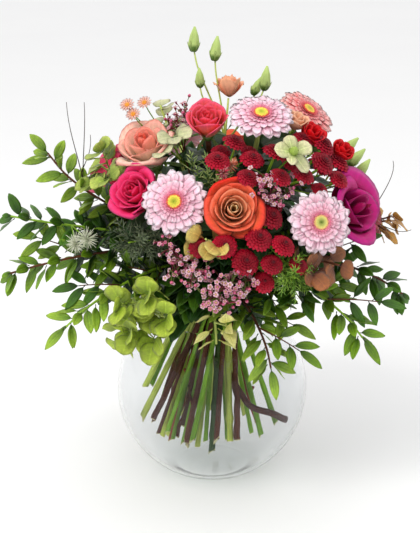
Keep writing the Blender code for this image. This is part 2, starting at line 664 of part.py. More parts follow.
class Garden:
    """The shells that already stand in the bouquet."""

    def __init__(self):
        self.shells = []

    def add(self, member):
        points, faces = member.shell()
        tree = BVHTree.FromPolygons(points, faces, epsilon=CLEAR)
        corners = np.array(points)
        self.shells.append((member, tree, corners.min(axis=0) - CLEAR, corners.max(axis=0) + CLEAR))

    def remove(self, member):
        self.shells = [entry for entry in self.shells if entry[0] is not member]

    def free(self, member, parent):
        points, faces = member.shell()
        tree = BVHTree.FromPolygons(points, faces, epsilon=CLEAR)
        corners = np.array(points)
        low, high = corners.min(axis=0), corners.max(axis=0)
        for other, shell, bottom, top in self.shells:
            apart = other is parent or (low >= top).any() or (high <= bottom).any()
            if not apart and tree.overlap(shell):
                return False
        return True


def leaf_member(base, ahead, outward, length, width, lean, petiole):
    """A leaf that leaves the stem at a lean from it, as rings from its stalk to its tip."""
    along = unit(ahead * math.cos(lean) + outward * math.sin(lean))
    normal = unit(np.cross(along, np.cross(ahead, outward)))
    across = np.cross(normal, along)
    start = base + outward * LEAF_STAND
    rings = []
    outline = [(petiole + 0.42 * (1 - petiole), 1.0, LEAF_HALF, 0.02), (1.0, 0.08, LEAF_TIP_HALF, 0.10)]
    if petiole > STALKED:
        outline.insert(0, (petiole, 0.10, STALK_HALF, 0))
    for share, wide, thick, sink in outline:
        centre = start + along * length * share - np.array([0, 0, sink * length])
        rings.append(ring(centre, across, normal, max(wide * width / 2, LEAF_HALF), thick))
    return Member(rings, outward)


def turned_about(vector, axis, angle):
    return (vector * math.cos(angle) + np.cross(axis, vector) * math.sin(angle)
            + axis * (axis @ vector) * (1 - math.cos(angle)))


def leafy_branch(row, line, radii, garden):
    """A branch with pairs of leaves, each turned about the stem until it has room."""
    kind, _, _, _, length, width, spacing, stretch = row
    route = Route(line, radii)
    count = int(stretch / spacing)
    nodes = [route.length - LAST_PAIR - spacing * k for k in range(count)][::-1]
    member, marks = stem_member(route, nodes)
    for number, s in enumerate(nodes):
        ahead, side, _ = route.frame(s)
        flat = np.cross(ahead, [0, 0, 1.0])
        flat = unit(flat) if np.linalg.norm(flat) > 0.2 else side
        size = (0.72 + 0.28 * math.sin(math.pi * (number + 0.7) / count)) * length
        twist = math.radians(28) * (1 if number % 2 else -1)
        taken = []
        for hand in (1, -1):
            for turn in TURNS:
                outward = turned_about(flat * hand, ahead, twist * hand + turn)
                if any(outward @ other > 0.3 for other in taken):
                    continue
                leaf = leaf_member(route.place(s) + outward * route.radius(s), ahead, outward, size, width,
                                   LEAN[kind], PETIOLE[kind])
                if garden.free(leaf, member):
                    member.children.setdefault(marks[s], []).append(leaf)
                    garden.add(leaf)
                    taken.append(outward)
                    break
    return member


def neck_of(centre, facing, kind, radius):
    """Where a spray's head joins its twig."""
    return centre + facing * radius * HEAD_RINGS[head_kind(kind, radius)][0][0]


def main_stems():
    """Every plant's stem line and radii, and every head's place, once all have settled."""
    crowd, radii_of = Crowd(), {}
    for order, (name, row) in enumerate({**BLOOMS, **SPRAYS, **BRANCHES}.items()):
        kind, head = row[0], None
        if name in BLOOMS:
            _, centre, bearing, elevation, radius = row
            centre, facing, head = over_rim(centre), direction(bearing, elevation), name
            across, up = head_frame(facing)
            balls = [(radius * (x * across + y * up + z * facing), radius * size)
                     for (x, y, z), size in BALLS[kind]]
            crowd.add_head(name, order, centre, balls)
            tip = centre - facing * (NECK[kind] * radius + STEM_SEAT)
            thick = GERBERA_STEM if kind == "gerbera" else ROSE_STEM
            foot_radius, tip_radius = thick, thick * 0.8
        elif name in SPRAYS:
            for number, (centre, radius) in enumerate(row[1]):
                crowd.add_head(f"{name}.{number}", order, over_rim(centre), [(np.zeros(3), radius)])
            centre, radius = over_rim(row[1][0][0]), row[1][0][1]
            facing, head = spray_facing(centre), f"{name}.0"
            tip = neck_of(centre, facing, kind, radius)
            foot_radius, tip_radius = THICKNESS[kind]
        else:
            tip, facing = over_rim(row[1]), direction(row[2], row[3])
            foot_radius, tip_radius = THICKNESS[kind]
        points = main_line(tip, facing, order)
        radii_of[name] = np.linspace(foot_radius, tip_radius, len(points))
        held = np.zeros(len(points), bool)
        held[-2:] = True
        crowd.add_line(name, order, points, radii_of[name], held, head)
    lines, places = crowd.settle(SETTLE_ROUNDS)
    return crowd, lines, radii_of, places


def side_twigs(crowd, lines, radii_of, places):
    """The sprays' side twigs, settled among the stems: fork length, line and radii by name."""
    twigs, forks = Crowd(), {}
    orders = {name: order for order, name in enumerate(lines)}
    for name, order in orders.items():
        twigs.add_line(name, order, lines[name], radii_of[name], np.ones(len(lines[name]), bool))
    for index, (body, place) in enumerate(places.items()):
        balls = [(offset, radius) for owner, offset, radius
                 in zip(crowd.ball_body, crowd.ball_offset, crowd.ball_radius) if owner == index]
        twigs.add_head(body, orders[body.split(".")[0]], place, balls, free=False)
    for name, (kind, heads) in SPRAYS.items():
        route = Route(lines[name], radii_of[name])
        for number, (_, radius) in enumerate(heads[1:], 1):
            centre = places[f"{name}.{number}"]
            facing = spray_facing(centre)
            neck = neck_of(centre, facing, kind, radius)
            s = route.length - FORK[kind] - FORK_STEP * number
            root = route.place(s)
            span = np.linalg.norm(neck - root)
            leave = unit(route.frame(s)[0] + 0.6 * unit(neck - root)) * span * 0.8
            points = curve_between(root, neck, leave, facing * span * 0.7, 7)
            held = np.zeros(len(points), bool)
            held[:1] = held[-2:] = True
            radii = THICKNESS[kind][1] * np.linspace(1.1, 0.8, len(points))
            twigs.add_line(f"{name}.{number}", orders[name], points, radii, held)
            forks[f"{name}.{number}"] = (s, radii)
    twig_lines, _ = twigs.settle(TWIG_ROUNDS)
    return {name: (s, twig_lines[name], radii) for name, (s, radii) in forks.items()}


def spray_member(name, lines, radii_of, places, twigs, garden):
    """A spray's stem and leading head, with its side twigs and their heads."""
    kind, heads = SPRAYS[name]
    nodes = [twigs[f"{name}.{k}"][0] for k in range(1, len(heads))]
    member, marks = stem_member(Route(lines[name], radii_of[name]), nodes)
    lead = places[f"{name}.0"]
    member.rings += spray_head_rings(kind, lead, spray_facing(lead), heads[0][1])
    garden.add(member)
    for number in range(1, len(heads)):
        s, line, radii = twigs[f"{name}.{number}"]
        route, centre = Route(line, radii), places[f"{name}.{number}"]
        twig, _ = stem_member(route, [], start=TWIG_STAND)
        twig.rings += spray_head_rings(kind, centre, spray_facing(centre), heads[number][1])
        twig.outward = unit(route.place(TWIG_STAND * 1.5) - route.place(0))
        member.children.setdefault(marks[s], []).append(twig)
        garden.add(twig)
    return member


def build():
    crowd, lines, radii_of, places = main_stems()
    twigs = side_twigs(crowd, lines, radii_of, places)
    garden = Garden()
    glass_vase()
    twine_tie(lines, radii_of)
    for name, (kind, _, bearing, elevation, radius) in BLOOMS.items():
        bloom = bloom_member(kind, places[name], direction(bearing, elevation), radius)
        stem, _ = stem_member(Route(lines[name], radii_of[name]), [], corners=6)
        garden.add(bloom)
        garden.add(stem)
        body_of(f"{name}_bloom", bloom, kind)
        tube(f"{name}_stem", lines[name], radii_of[name], "stem")
    members = {name: spray_member(name, lines, radii_of, places, twigs, garden) for name in SPRAYS}
    bare = {name: stem_member(Route(lines[name], radii_of[name]), [])[0] for name in BRANCHES}
    for shell in bare.values():
        garden.add(shell)
    for name, row in BRANCHES.items():
        garden.remove(bare[name])
        members[name] = leafy_branch(row, lines[name], radii_of[name], garden)
        garden.add(members[name])
    for name, member in members.items():
        body_of(name, member, name.rsplit("_", 1)[0])


for old in list(bpy.data.objects):
    bpy.data.objects.remove(old)
bpy.context.scene.collection.children.link(bpy.data.collections.new(COLLECTION))
build()
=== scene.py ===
"""The finished look of the gerbera bouquet in its round glass bowl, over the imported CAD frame.

Metres, +Z up, in the frame's own place. The layout code settles the same stems, heads and leaves
as the CAD, and every CAD node is replaced by a finely shaped piece that stands on it.
"""

import json
import math

import bpy
import numpy as np
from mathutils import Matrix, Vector
from mathutils.bvhtree import BVHTree

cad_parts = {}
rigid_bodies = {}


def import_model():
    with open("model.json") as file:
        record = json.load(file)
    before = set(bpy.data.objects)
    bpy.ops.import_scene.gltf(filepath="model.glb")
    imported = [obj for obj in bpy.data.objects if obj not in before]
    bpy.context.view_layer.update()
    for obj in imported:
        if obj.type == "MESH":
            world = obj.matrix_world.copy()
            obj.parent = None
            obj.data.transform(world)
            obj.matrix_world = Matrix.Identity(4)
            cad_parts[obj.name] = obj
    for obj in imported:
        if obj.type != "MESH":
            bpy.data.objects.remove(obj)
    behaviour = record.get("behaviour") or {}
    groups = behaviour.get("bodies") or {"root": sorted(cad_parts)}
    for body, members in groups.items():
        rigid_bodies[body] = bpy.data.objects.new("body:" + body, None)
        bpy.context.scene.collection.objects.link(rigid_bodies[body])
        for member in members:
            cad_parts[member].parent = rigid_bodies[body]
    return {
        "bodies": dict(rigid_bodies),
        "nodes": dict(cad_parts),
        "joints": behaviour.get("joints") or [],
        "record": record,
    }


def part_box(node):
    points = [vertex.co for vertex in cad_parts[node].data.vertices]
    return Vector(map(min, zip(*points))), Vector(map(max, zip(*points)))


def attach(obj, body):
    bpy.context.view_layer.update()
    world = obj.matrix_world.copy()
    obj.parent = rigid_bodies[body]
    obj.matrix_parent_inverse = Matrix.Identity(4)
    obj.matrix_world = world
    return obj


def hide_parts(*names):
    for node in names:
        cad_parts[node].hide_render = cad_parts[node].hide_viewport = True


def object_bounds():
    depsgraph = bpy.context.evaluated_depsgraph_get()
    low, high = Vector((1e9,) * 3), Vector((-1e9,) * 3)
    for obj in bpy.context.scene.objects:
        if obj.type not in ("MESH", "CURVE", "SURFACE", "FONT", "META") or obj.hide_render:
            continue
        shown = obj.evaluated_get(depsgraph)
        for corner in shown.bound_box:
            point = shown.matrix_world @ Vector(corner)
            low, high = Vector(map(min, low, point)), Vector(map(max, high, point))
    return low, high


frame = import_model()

CAD_BOX = [np.array(corner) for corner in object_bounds()]

# Vase
BOWL_RADIUS = 0.100
BASE_RADIUS = 0.038
MOUTH_RADIUS = 0.060
WALL = 0.003
FLOOR_WALL = 0.006
BOWL_CENTRE = math.sqrt(BOWL_RADIUS**2 - BASE_RADIUS**2)
RIM_HEIGHT = BOWL_CENTRE + math.sqrt(BOWL_RADIUS**2 - MOUTH_RADIUS**2)

# Tie
TIE_ABOVE_RIM = 0.024
TIE_HEIGHT = RIM_HEIGHT + TIE_ABOVE_RIM
TIE_RISE = 0.016
BUNDLE_RADIUS = 0.022

# Stems: the gap between them, their turn about the axis above and below the tie, and their feet
GAP = 0.0012
SPIRAL_ABOVE = math.radians(32)
SPIRAL_BELOW = math.radians(38)
FOOT_LOW = 0.030
FOOT_HIGH = 0.085
FOOT_SPREAD = 0.088
FOOT_FAN = 0.55
GERBERA_STEM = 0.0029
ROSE_STEM = 0.0034
PLAIN_STEP = 0.026
NODE_LENGTH = 0.0022
TWIG_STAND = 0.004
STEM_SEAT = 0.0004
# Heights below and above the rim between which stems keep to the mouth
MOUTH_BELOW = 0.010
MOUTH_ABOVE = 0.006
MOUTH_EDGE = 0.004

# Bouquet
HEART = np.array([0.0, 0.0, TIE_HEIGHT])
# How far the lowest stems lean from straight up
WIDEST = math.radians(105)
UP = np.array([0, 0, 1.0])
# Turn from one petal or leaf of a spiral to the next
GOLDEN_TURN = 2.39996


def unit(vector):
    return vector / np.linalg.norm(vector)


def direction(bearing, elevation):
    b, e = math.radians(bearing), math.radians(elevation)
    return np.array([math.sin(b) * math.cos(e), -math.cos(b) * math.cos(e), math.sin(e)])


# Every centre and tip below has its height above the vase's rim.

# Blooms. Each row is: kind, centre of the bloom, bearing and elevation that it faces, radius.
BLOOMS = {
    "gerbera_1": ("gerbera", (-0.032, -0.112, 0.1495), -8, 28, 0.031),
    "gerbera_2": ("gerbera", (0.092, -0.114, 0.1295), 12, 22, 0.030),
    "gerbera_3": ("gerbera", (0.046, -0.052, 0.2185), 8, 62, 0.032),
    "gerbera_4": ("gerbera", (0.094, -0.002, 0.2135), 55, 52, 0.030),
    "gerbera_5": ("gerbera", (-0.038, 0.098, 0.1655), 200, 35, 0.031),
    "gerbera_6": ("gerbera", (0.076, 0.108, 0.1235), 150, 22, 0.030),
    "rose_1": ("rose", (-0.064, -0.044, 0.1895), -35, 58, 0.027),
    "rose_2": ("rose", (0.022, -0.118, 0.1455), 5, 25, 0.024),
    "rose_3": ("rose", (-0.006, -0.046, 0.2135), -5, 60, 0.019),
    "rose_4": ("rose", (-0.072, -0.086, 0.1535), -35, 35, 0.022),
    "rose_5": ("rose", (0.136, -0.064, 0.1375), 50, 22, 0.029),
    "rose_6": ("rose", (0.158, -0.014, 0.1115), 75, 12, 0.022),
    "rose_7": ("rose", (0.016, 0.116, 0.1455), 180, 28, 0.025),
    "rose_8": ("rose", (-0.104, 0.054, 0.1435), 238, 28, 0.026),
}

# Sprays of small heads on forked stems. Each head is its centre and radius; the first leads.
SPRAYS = {
    "santini_1": ("santini", [((0.005, -0.096, 0.1875), 0.011), ((0.024, -0.082, 0.1995), 0.011),
                              ((0.036, -0.094, 0.1855), 0.011), ((0.033, -0.106, 0.1735), 0.010)]),
    "santini_2": ("santini", [((0.057, -0.084, 0.1915), 0.012), ((0.063, -0.104, 0.1725), 0.010),
                              ((0.086, -0.090, 0.1715), 0.010)]),
    "santini_3": ("santini", [((0.106, -0.052, 0.1915), 0.012), ((0.090, -0.056, 0.1975), 0.010),
                              ((0.108, -0.070, 0.1775), 0.012), ((0.122, -0.044, 0.1735), 0.012),
                              ((0.120, -0.068, 0.1615), 0.010)]),
    "santini_4": ("santini", [((0.052, -0.116, 0.1395), 0.012), ((0.044, -0.130, 0.1235), 0.012),
                              ((0.064, -0.128, 0.1175), 0.011), ((0.014, -0.134, 0.1135), 0.011),
                              ((0.030, -0.136, 0.1015), 0.012)]),
    "santini_5": ("santini", [((-0.060, 0.070, 0.1775), 0.012), ((-0.084, 0.060, 0.1655), 0.011),
                              ((-0.076, 0.086, 0.1535), 0.011), ((-0.050, 0.108, 0.1235), 0.012)]),
    "santini_6": ("santini", [((0.078, 0.064, 0.1835), 0.012), ((0.096, 0.080, 0.1615), 0.011),
                              ((0.110, 0.058, 0.1655), 0.012), ((0.046, 0.096, 0.1635), 0.010)]),
    "lisianthus_1": ("lisianthus", [((0.017, 0.012, 0.2355), 0.013), ((0.003, 0.014, 0.2675), 0.006),
                                    ((-0.018, 0.014, 0.2765), 0.006), ((-0.012, 0.004, 0.2415), 0.005),
                                    ((0.052, 0.006, 0.2395), 0.006), ((0.043, 0.016, 0.2315), 0.005)]),
    "lisianthus_2": ("lisianthus", [((0.140, -0.004, 0.1635), 0.006), ((0.146, -0.012, 0.1535), 0.006),
                                    ((0.134, 0.008, 0.1725), 0.006)]),
    "waxflower_1": ("waxflower", [((-0.030, -0.132, 0.1035), 0.004), ((-0.014, -0.138, 0.0955), 0.004),
                                  ((-0.044, -0.124, 0.1175), 0.004), ((-0.020, -0.140, 0.0815), 0.004),
                                  ((-0.040, -0.130, 0.0915), 0.004), ((-0.004, -0.136, 0.0895), 0.004)]),
    "waxflower_2": ("waxflower", [((0.018, -0.146, 0.0835), 0.004), ((0.030, -0.142, 0.0735), 0.004),
                                  ((0.004, -0.146, 0.0755), 0.004), ((0.014, -0.146, 0.0635), 0.004),
                                  ((0.034, -0.138, 0.0855), 0.004), ((-0.004, -0.144, 0.0655), 0.004)]),
    "waxflower_3": ("waxflower", [((0.056, -0.108, 0.1615), 0.004), ((0.046, -0.106, 0.1695), 0.004),
                                  ((0.060, -0.112, 0.1515), 0.004), ((0.074, -0.100, 0.1635), 0.004),
                                  ((0.050, -0.112, 0.1555), 0.004), ((0.048, -0.114, 0.1795), 0.004)]),
    "waxflower_4": ("waxflower", [((-0.034, -0.030, 0.2135), 0.004), ((-0.022, -0.034, 0.2175), 0.004),
                                  ((-0.044, -0.020, 0.2115), 0.004), ((-0.028, -0.014, 0.2215), 0.004)]),
}

# Leafy branches. Each row is: kind, tip, direction of the tip as bearing and elevation, leaf
# length, leaf width, spacing of the leaf pairs, length of the leafy stretch.
BRANCHES = {
    "ruscus_1": ("ruscus", (-0.160, -0.030, 0.1775), -80, 60, 0.028, 0.011, 0.016, 0.138),
    "ruscus_2": ("ruscus", (-0.196, -0.050, 0.1195), -80, 15, 0.028, 0.011, 0.016, 0.143),
    "ruscus_3": ("ruscus", (-0.196, -0.070, 0.0675), -72, -12, 0.028, 0.011, 0.016, 0.143),
    "ruscus_4": ("ruscus", (-0.140, -0.100, 0.0235), -58, -38, 0.028, 0.011, 0.016, 0.128),
    "ruscus_5": ("ruscus", (0.188, -0.056, 0.0415), 72, -35, 0.028, 0.011, 0.016, 0.138),
    "ruscus_6": ("ruscus", (0.144, -0.104, 0.0135), 48, -48, 0.028, 0.011, 0.016, 0.128),
    "ruscus_7": ("ruscus", (0.056, -0.116, -0.0125), 22, -72, 0.028, 0.011, 0.016, 0.098),
    "ruscus_8": ("ruscus", (0.120, 0.132, 0.0415), 140, -25, 0.028, 0.011, 0.016, 0.133),
    "ruscus_9": ("ruscus", (-0.128, 0.128, 0.0535), 222, -20, 0.028, 0.011, 0.016, 0.133),
    "eucalyptus_1": ("eucalyptus", (-0.092, -0.086, -0.0005), -50, -60, 0.024, 0.021, 0.013, 0.090),
    "eucalyptus_2": ("eucalyptus", (-0.112, -0.022, 0.1655), -80, 40, 0.021, 0.018, 0.016, 0.075),
    "eucalyptus_3": ("eucalyptus", (-0.052, 0.018, 0.2155), -60, 70, 0.021, 0.018, 0.016, 0.060),
    "eucalyptus_4": ("eucalyptus", (0.118, -0.112, 0.0895), 35, 5, 0.022, 0.018, 0.015, 0.070),
    "eucalyptus_5": ("eucalyptus", (-0.006, -0.128, 0.1195), -4, 20, 0.022, 0.018, 0.014, 0.045),
    "eucalyptus_6": ("eucalyptus", (0.188, 0.004, 0.0995), 80, 5, 0.020, 0.014, 0.016, 0.070),
    "eucalyptus_7": ("eucalyptus", (0.004, -0.100, 0.0055), 2, -70, 0.024, 0.013, 0.012, 0.040),
    "fern_1": ("fern", (0.076, -0.132, 0.0835), 22, -5, 0.014, 0.005, 0.009, 0.055),
    "fern_2": ("fern", (-0.078, -0.106, 0.1095), -35, 5, 0.014, 0.005, 0.009, 0.060),
}

# Radius of a spray's or branch's stem at its foot and at its tip
THICKNESS = {
    "santini": (0.0024, 0.0012), "lisianthus": (0.0024, 0.0010), "waxflower": (0.0020, 0.0007),
    "ruscus": (0.0030, 0.0009), "eucalyptus": (0.0034, 0.0010), "fern": (0.0022, 0.0008),
}

# How far below its leading head a spray forks
FORK = {"santini": 0.040, "lisianthus": 0.034, "waxflower": 0.030}
FORK_STEP = 0.0045

# Heads, as shares of their radius: rings are (ahead of the centre, width), from the neck forward
GERBERA_RINGS = ((-0.42, 0.11), (-0.22, 0.31), (0.0, 1.0), (0.10, 0.97), (0.18, 0.40), (0.21, 0.26))
GERBERA_CORNERS = 20
PETAL_NOTCH = 0.87
ROSE_RINGS = ((-1.30, 0.17), (-1.0, 0.55), (-0.35, 0.92), (0.30, 1.0), (0.62, 0.86), (0.44, 0.62),
              (0.66, 0.38))
ROSE_CORNERS = 10
NECK = {"gerbera": 0.42, "rose": 1.30}
BALLS = {
    "rose": [((0, 0, -0.15), 0.95), ((0, 0, -0.75), 0.66), ((0, 0, 0.2), 0.9)],
    "gerbera": ([((0, 0, -0.16), 0.20), ((0, 0, 0.05), 0.22)]
                + [((0.84 * math.cos(k * math.pi / 5), 0.84 * math.sin(k * math.pi / 5), 0.05), 0.17)
                   for k in range(10)]
                + [((0.48 * math.cos(k * math.pi / 3), 0.48 * math.sin(k * math.pi / 3), 0.04), 0.19)
                   for k in range(6)]),
}
HEAD_RINGS = {
    "santini": ((-0.60, 0.35), (0.0, 1.0), (0.50, 0.72)),
    "bud": ((-1.2, 0.45), (0.0, 1.0), (2.2, 0.25)),
    "open": ((-0.9, 0.30), (0.1, 0.90), (0.6, 1.0)),
    "waxflower": ((-1.0, 0.40), (0.0, 1.0), (0.9, 0.50)),
}
OPEN_BLOOM = 0.009

# Leaves
LEAF_STAND = 0.0016
STALKED = 0.15
LEAF_HALF = 0.0007
LEAF_TIP_HALF = 0.0003
STALK_HALF = 0.0006
LAST_PAIR = 0.004
CLEAR = 0.0004
TURNS = [math.radians(a) for a in (0, 20, -20, 40, -40, 65, -65, 90, -90)]
LEAN = {"ruscus": math.radians(52), "eucalyptus": math.radians(68), "fern": math.radians(60)}
PETIOLE = {"ruscus": 0.10, "eucalyptus": 0.22, "fern": 0.10}

# Rounds in which stems and heads push one another; in the last ones nothing pulls them back
SETTLE_ROUNDS = 200
TWIG_ROUNDS = 120
LAST_ROUNDS = 40
# Neighbours are looked up again every so many rounds, among stretches within this distance
LOOK_EVERY = 8
LOOK_WITHIN = 0.008
# Shares of a push, and of the pull back to its own place and bend, that take effect in a round
STEM_PUSH = 0.6
STEM_OFF_HEAD = 0.8
HEAD_OFF_STEM = 0.25
HEAD_PUSH = 0.5
HOME_PULL = 0.02
BEND_PULL = 0.35


def curve_between(start, end, leave, arrive, count):
    """Points of a cubic from start to end with the given end tangents."""
    t = np.linspace(0, 1, count)[:, None]
    return ((2 * t**3 - 3 * t**2 + 1) * start + (t**3 - 2 * t**2 + t) * leave
            + (3 * t**2 - 2 * t**3) * end + (t**3 - t**2) * arrive)


def over_rim(point):
    """A place in the vase's frame, from one whose height is above the rim."""
    return np.array(point) + [0, 0, RIM_HEIGHT]


def polar(point):
    """How far a point leans from straight above the tie, as a share of WIDEST."""
    lean = unit(np.asarray(point) - HEART)
    return min(math.acos(lean[2]) / WIDEST, 1.0)


def main_line(head, facing, order):
    """The rest line of one stem, from its cut foot through the tie to its head."""
    share = polar(head)
    bearing = math.atan2(head[0], -head[1])
    slot_bearing = bearing - SPIRAL_ABOVE
    foot_bearing = slot_bearing - SPIRAL_BELOW
    scatter = (order * 0.618034) % 1.0
    slot = HEART + BUNDLE_RADIUS * share * np.array([math.sin(slot_bearing), -math.cos(slot_bearing), 0])
    height = FOOT_LOW + (FOOT_HIGH - FOOT_LOW) * (0.35 * scatter + 0.65 * share**2)
    reach = FOOT_SPREAD * (0.10 + 0.90 * share**FOOT_FAN) * (0.86 + 0.14 * scatter)
    foot = np.array([reach * math.sin(foot_bearing), -reach * math.cos(foot_bearing), height])
    below = curve_between(foot, slot, (slot - foot) * 0.9, (slot - foot) * 1.1, 7)
    top = slot * np.array([1.12, 1.12, 1]) + np.array([0, 0, TIE_RISE])
    span = np.linalg.norm(head - top)
    rise = unit(slot - foot) + np.array([0, 0, 0.9])
    above = curve_between(top, head, unit(rise) * span * 0.8, facing * span * 1.15, 10)
    return np.vstack([below, above])


def closest(p1, q1, p2, q2):
    """Shares along two sets of segments at which they come closest."""
    d1, d2, r = q1 - p1, q2 - p2, p1 - p2
    a, e = (d1 * d1).sum(1) + 1e-12, (d2 * d2).sum(1) + 1e-12
    b, c, f = (d1 * d2).sum(1), (d1 * r).sum(1), (d2 * r).sum(1)
    s = np.clip((b * f - c * e) / (a * e - b * b + 1e-14), 0, 1)
    t = np.clip((b * s + f) / e, 0, 1)
    return np.clip((b * t - c) / a, 0, 1), t


class Crowd:
    """Stem lines and heads that push one another aside until each has room.

    A line is a plant's stem, held at some of its points. A body is a head made of balls, and the
    last two points of its own stem move with it.
    """

    def __init__(self):
        self.names, self.points, self.radii = [], [], []
        self.held, self.spans, self.plants, self.bodies = [], [], [], []
        self.ball_body, self.ball_offset, self.ball_radius = [], [], []
        self.body_names, self.body_place, self.body_plant, self.body_free = [], [], [], []

    def add_head(self, name, plant, centre, balls, free=True):
        self.body_names.append(name)
        self.body_place.append(centre)
        self.body_plant.append(plant)
        self.body_free.append(free)
        for offset, radius in balls:
            self.ball_body.append(len(self.body_names) - 1)
            self.ball_offset.append(offset)
            self.ball_radius.append(radius)

    def add_line(self, name, plant, points, radii, held, head=None):
        first = sum(len(p) for p in self.points)
        self.names.append(name)
        self.points.append(points)
        self.radii.append(radii)
        self.held.append(held)
        self.plants.append(plant)
        self.bodies.append(-1 if head is None else self.body_names.index(head))
        self.spans.append((first, first + len(points)))

    def settle(self, rounds):
        P = np.vstack(self.points)
        R = np.concatenate(self.radii)
        fixed = np.concatenate(self.held)
        ends = [np.arange(a, b - 1) for a, b in self.spans]
        A = np.concatenate(ends)
        owner = np.concatenate([np.full(len(e), self.plants[i]) for i, e in enumerate(ends)])
        thick = np.maximum(R[A], R[A + 1])
        middle = np.array([i for a, b in self.spans for i in range(a + 1, b - 1)])
        bend = P[middle] - (P[middle - 1] + P[middle + 1]) / 2
        place = np.array(self.body_place, float).reshape(-1, 3)
        wish = place.copy()
        b_plant, b_free = np.array(self.body_plant), np.array(self.body_free, float)
        o_body = np.array(self.ball_body, int)
        o_off, o_rad = np.array(self.ball_offset).reshape(-1, 3), np.array(self.ball_radius)
        for step in range(rounds):
            last = step >= rounds - LAST_ROUNDS
            if step % LOOK_EVERY == 0:
                mid, half = (P[A] + P[A + 1]) / 2, np.linalg.norm(P[A + 1] - P[A], axis=1) / 2
                far = np.linalg.norm(mid[:, None] - mid[None], axis=2)
                near = far < half[:, None] + half[None] + thick[:, None] + thick[None] + LOOK_WITHIN
                near &= owner[:, None] != owner[None]
                first, second = np.nonzero(np.triu(near, 1))
            move, hits = np.zeros_like(P), np.full(len(P), 1e-9)
            shift, knocks = np.zeros_like(place), np.full(len(place), 1e-9)
            # Stem against stem
            i, j = A[first], A[second]
            s, t = closest(P[i], P[i + 1], P[j], P[j + 1])
            between = (P[i] * (1 - s)[:, None] + P[i + 1] * s[:, None]
                       - P[j] * (1 - t)[:, None] - P[j + 1] * t[:, None])
            away = np.linalg.norm(between, axis=1)
            short = thick[first] + thick[second] + GAP - away
            hit = short > 0
            push = between[hit] / (away[hit, None] + 1e-9) * (short[hit, None] * STEM_PUSH)
            for ends_of, share, sign in ((i[hit], s[hit], 1), (j[hit], t[hit], -1)):
                for step_on, weight in ((0, 1 - share), (1, share)):
                    np.add.at(move, ends_of + step_on, sign * push * weight[:, None])
                    np.add.at(hits, ends_of + step_on, weight)
            # Stem against head
            if len(o_body):
                centres = place[o_body] + o_off
                d = P[A + 1] - P[A]
                w = ((centres[None] - P[A][:, None]) * d[:, None]).sum(2) / ((d * d).sum(1)[:, None] + 1e-12)
                w = np.clip(w, 0, 1)
                between = P[A][:, None] + w[:, :, None] * d[:, None] - centres[None]
                away = np.linalg.norm(between, axis=2)
                short = thick[:, None] + o_rad[None] + GAP - away
                hit = (short > 0) & (owner[:, None] != b_plant[o_body][None])
                k, m = np.nonzero(hit)
                push = between[k, m] / (away[k, m, None] + 1e-9) * short[k, m, None]
                for step_on, weight in ((0, 1 - w[k, m]), (1, w[k, m])):
                    np.add.at(move, A[k] + step_on, STEM_OFF_HEAD * push * weight[:, None])
                    np.add.at(hits, A[k] + step_on, weight)
                np.add.at(shift, o_body[m], -HEAD_OFF_STEM * push)
                np.add.at(knocks, o_body[m], 1)
                # Head against head
                between = centres[:, None] - centres[None]
                away = np.linalg.norm(between, axis=2)
                short = o_rad[:, None] + o_rad[None] + GAP - away
                k, m = np.nonzero((short > 0) & (o_body[:, None] != o_body[None]))
                push = between[k, m] / (away[k, m, None] + 1e-9) * short[k, m, None]
                np.add.at(shift, o_body[k], HEAD_PUSH * push)
                np.add.at(knocks, o_body[k], 1)
            P = P + np.where(fixed[:, None], 0, move / np.maximum(hits, 1)[:, None])
            if len(place):
                change = b_free[:, None] * shift / np.maximum(knocks, 1)[:, None]
                if not last:
                    change += HOME_PULL * b_free[:, None] * (wish - place)
                place = place + change
                for (a, b), body in zip(self.spans, self.bodies):
                    if body >= 0:
                        P[b - 2:b] += change[body]
            if not last:
                pull = bend + (P[middle - 1] + P[middle + 1]) / 2 - P[middle]
                P[middle] += np.where(fixed[middle][:, None], 0, BEND_PULL * pull)
            P = np.where(fixed[:, None], P, inside_vase(P, R))
        self.points = [P[a:b] for a, b in self.spans]
        self.body_place = place
        return {n: p for n, p in zip(self.names, self.points)}, dict(zip(self.body_names, place))


def inside_vase(points, radii):
    """Points moved off the glass, in the bowl and in its mouth."""
    points = points.copy()
    level = np.minimum(np.maximum(points[:, 2], 0), RIM_HEIGHT + MOUTH_EDGE)
    inner = BOWL_RADIUS - WALL
    room = np.sqrt(np.maximum(inner**2 - (level - BOWL_CENTRE) ** 2, 0)) - radii - 2 * GAP
    mouth = MOUTH_RADIUS - WALL - radii - 2 * GAP
    room = np.where(points[:, 2] > RIM_HEIGHT - MOUTH_BELOW, mouth, room)
    across = np.hypot(points[:, 0], points[:, 1]) + 1e-12
    inside = (points[:, 2] < RIM_HEIGHT + MOUTH_ABOVE) & (across > room) & (across < BOWL_RADIUS * 0.9)
    scale = np.where(inside & (across < MOUTH_RADIUS + MOUTH_EDGE), room / across, 1)
    scale = np.where(inside & (points[:, 2] < RIM_HEIGHT - MOUTH_BELOW), room / across, scale)
    points[:, :2] *= scale[:, None]
    return points


# Routes and rings


def smoothed(points, per=5):
    """A fine line through the points, as a Catmull-Rom curve."""
    padded = np.vstack([2 * points[0] - points[1], points, 2 * points[-1] - points[-2]])
    fine = []
    for a, b, c, d in zip(padded, padded[1:], padded[2:], padded[3:]):
        for t in np.arange(per) / per:
            fine.append(0.5 * (2 * b + (c - a) * t + (2 * a - 5 * b + 4 * c - d) * t**2
                               + (3 * b - a - 3 * c + d) * t**3))
    return np.vstack([fine, points[-1]])


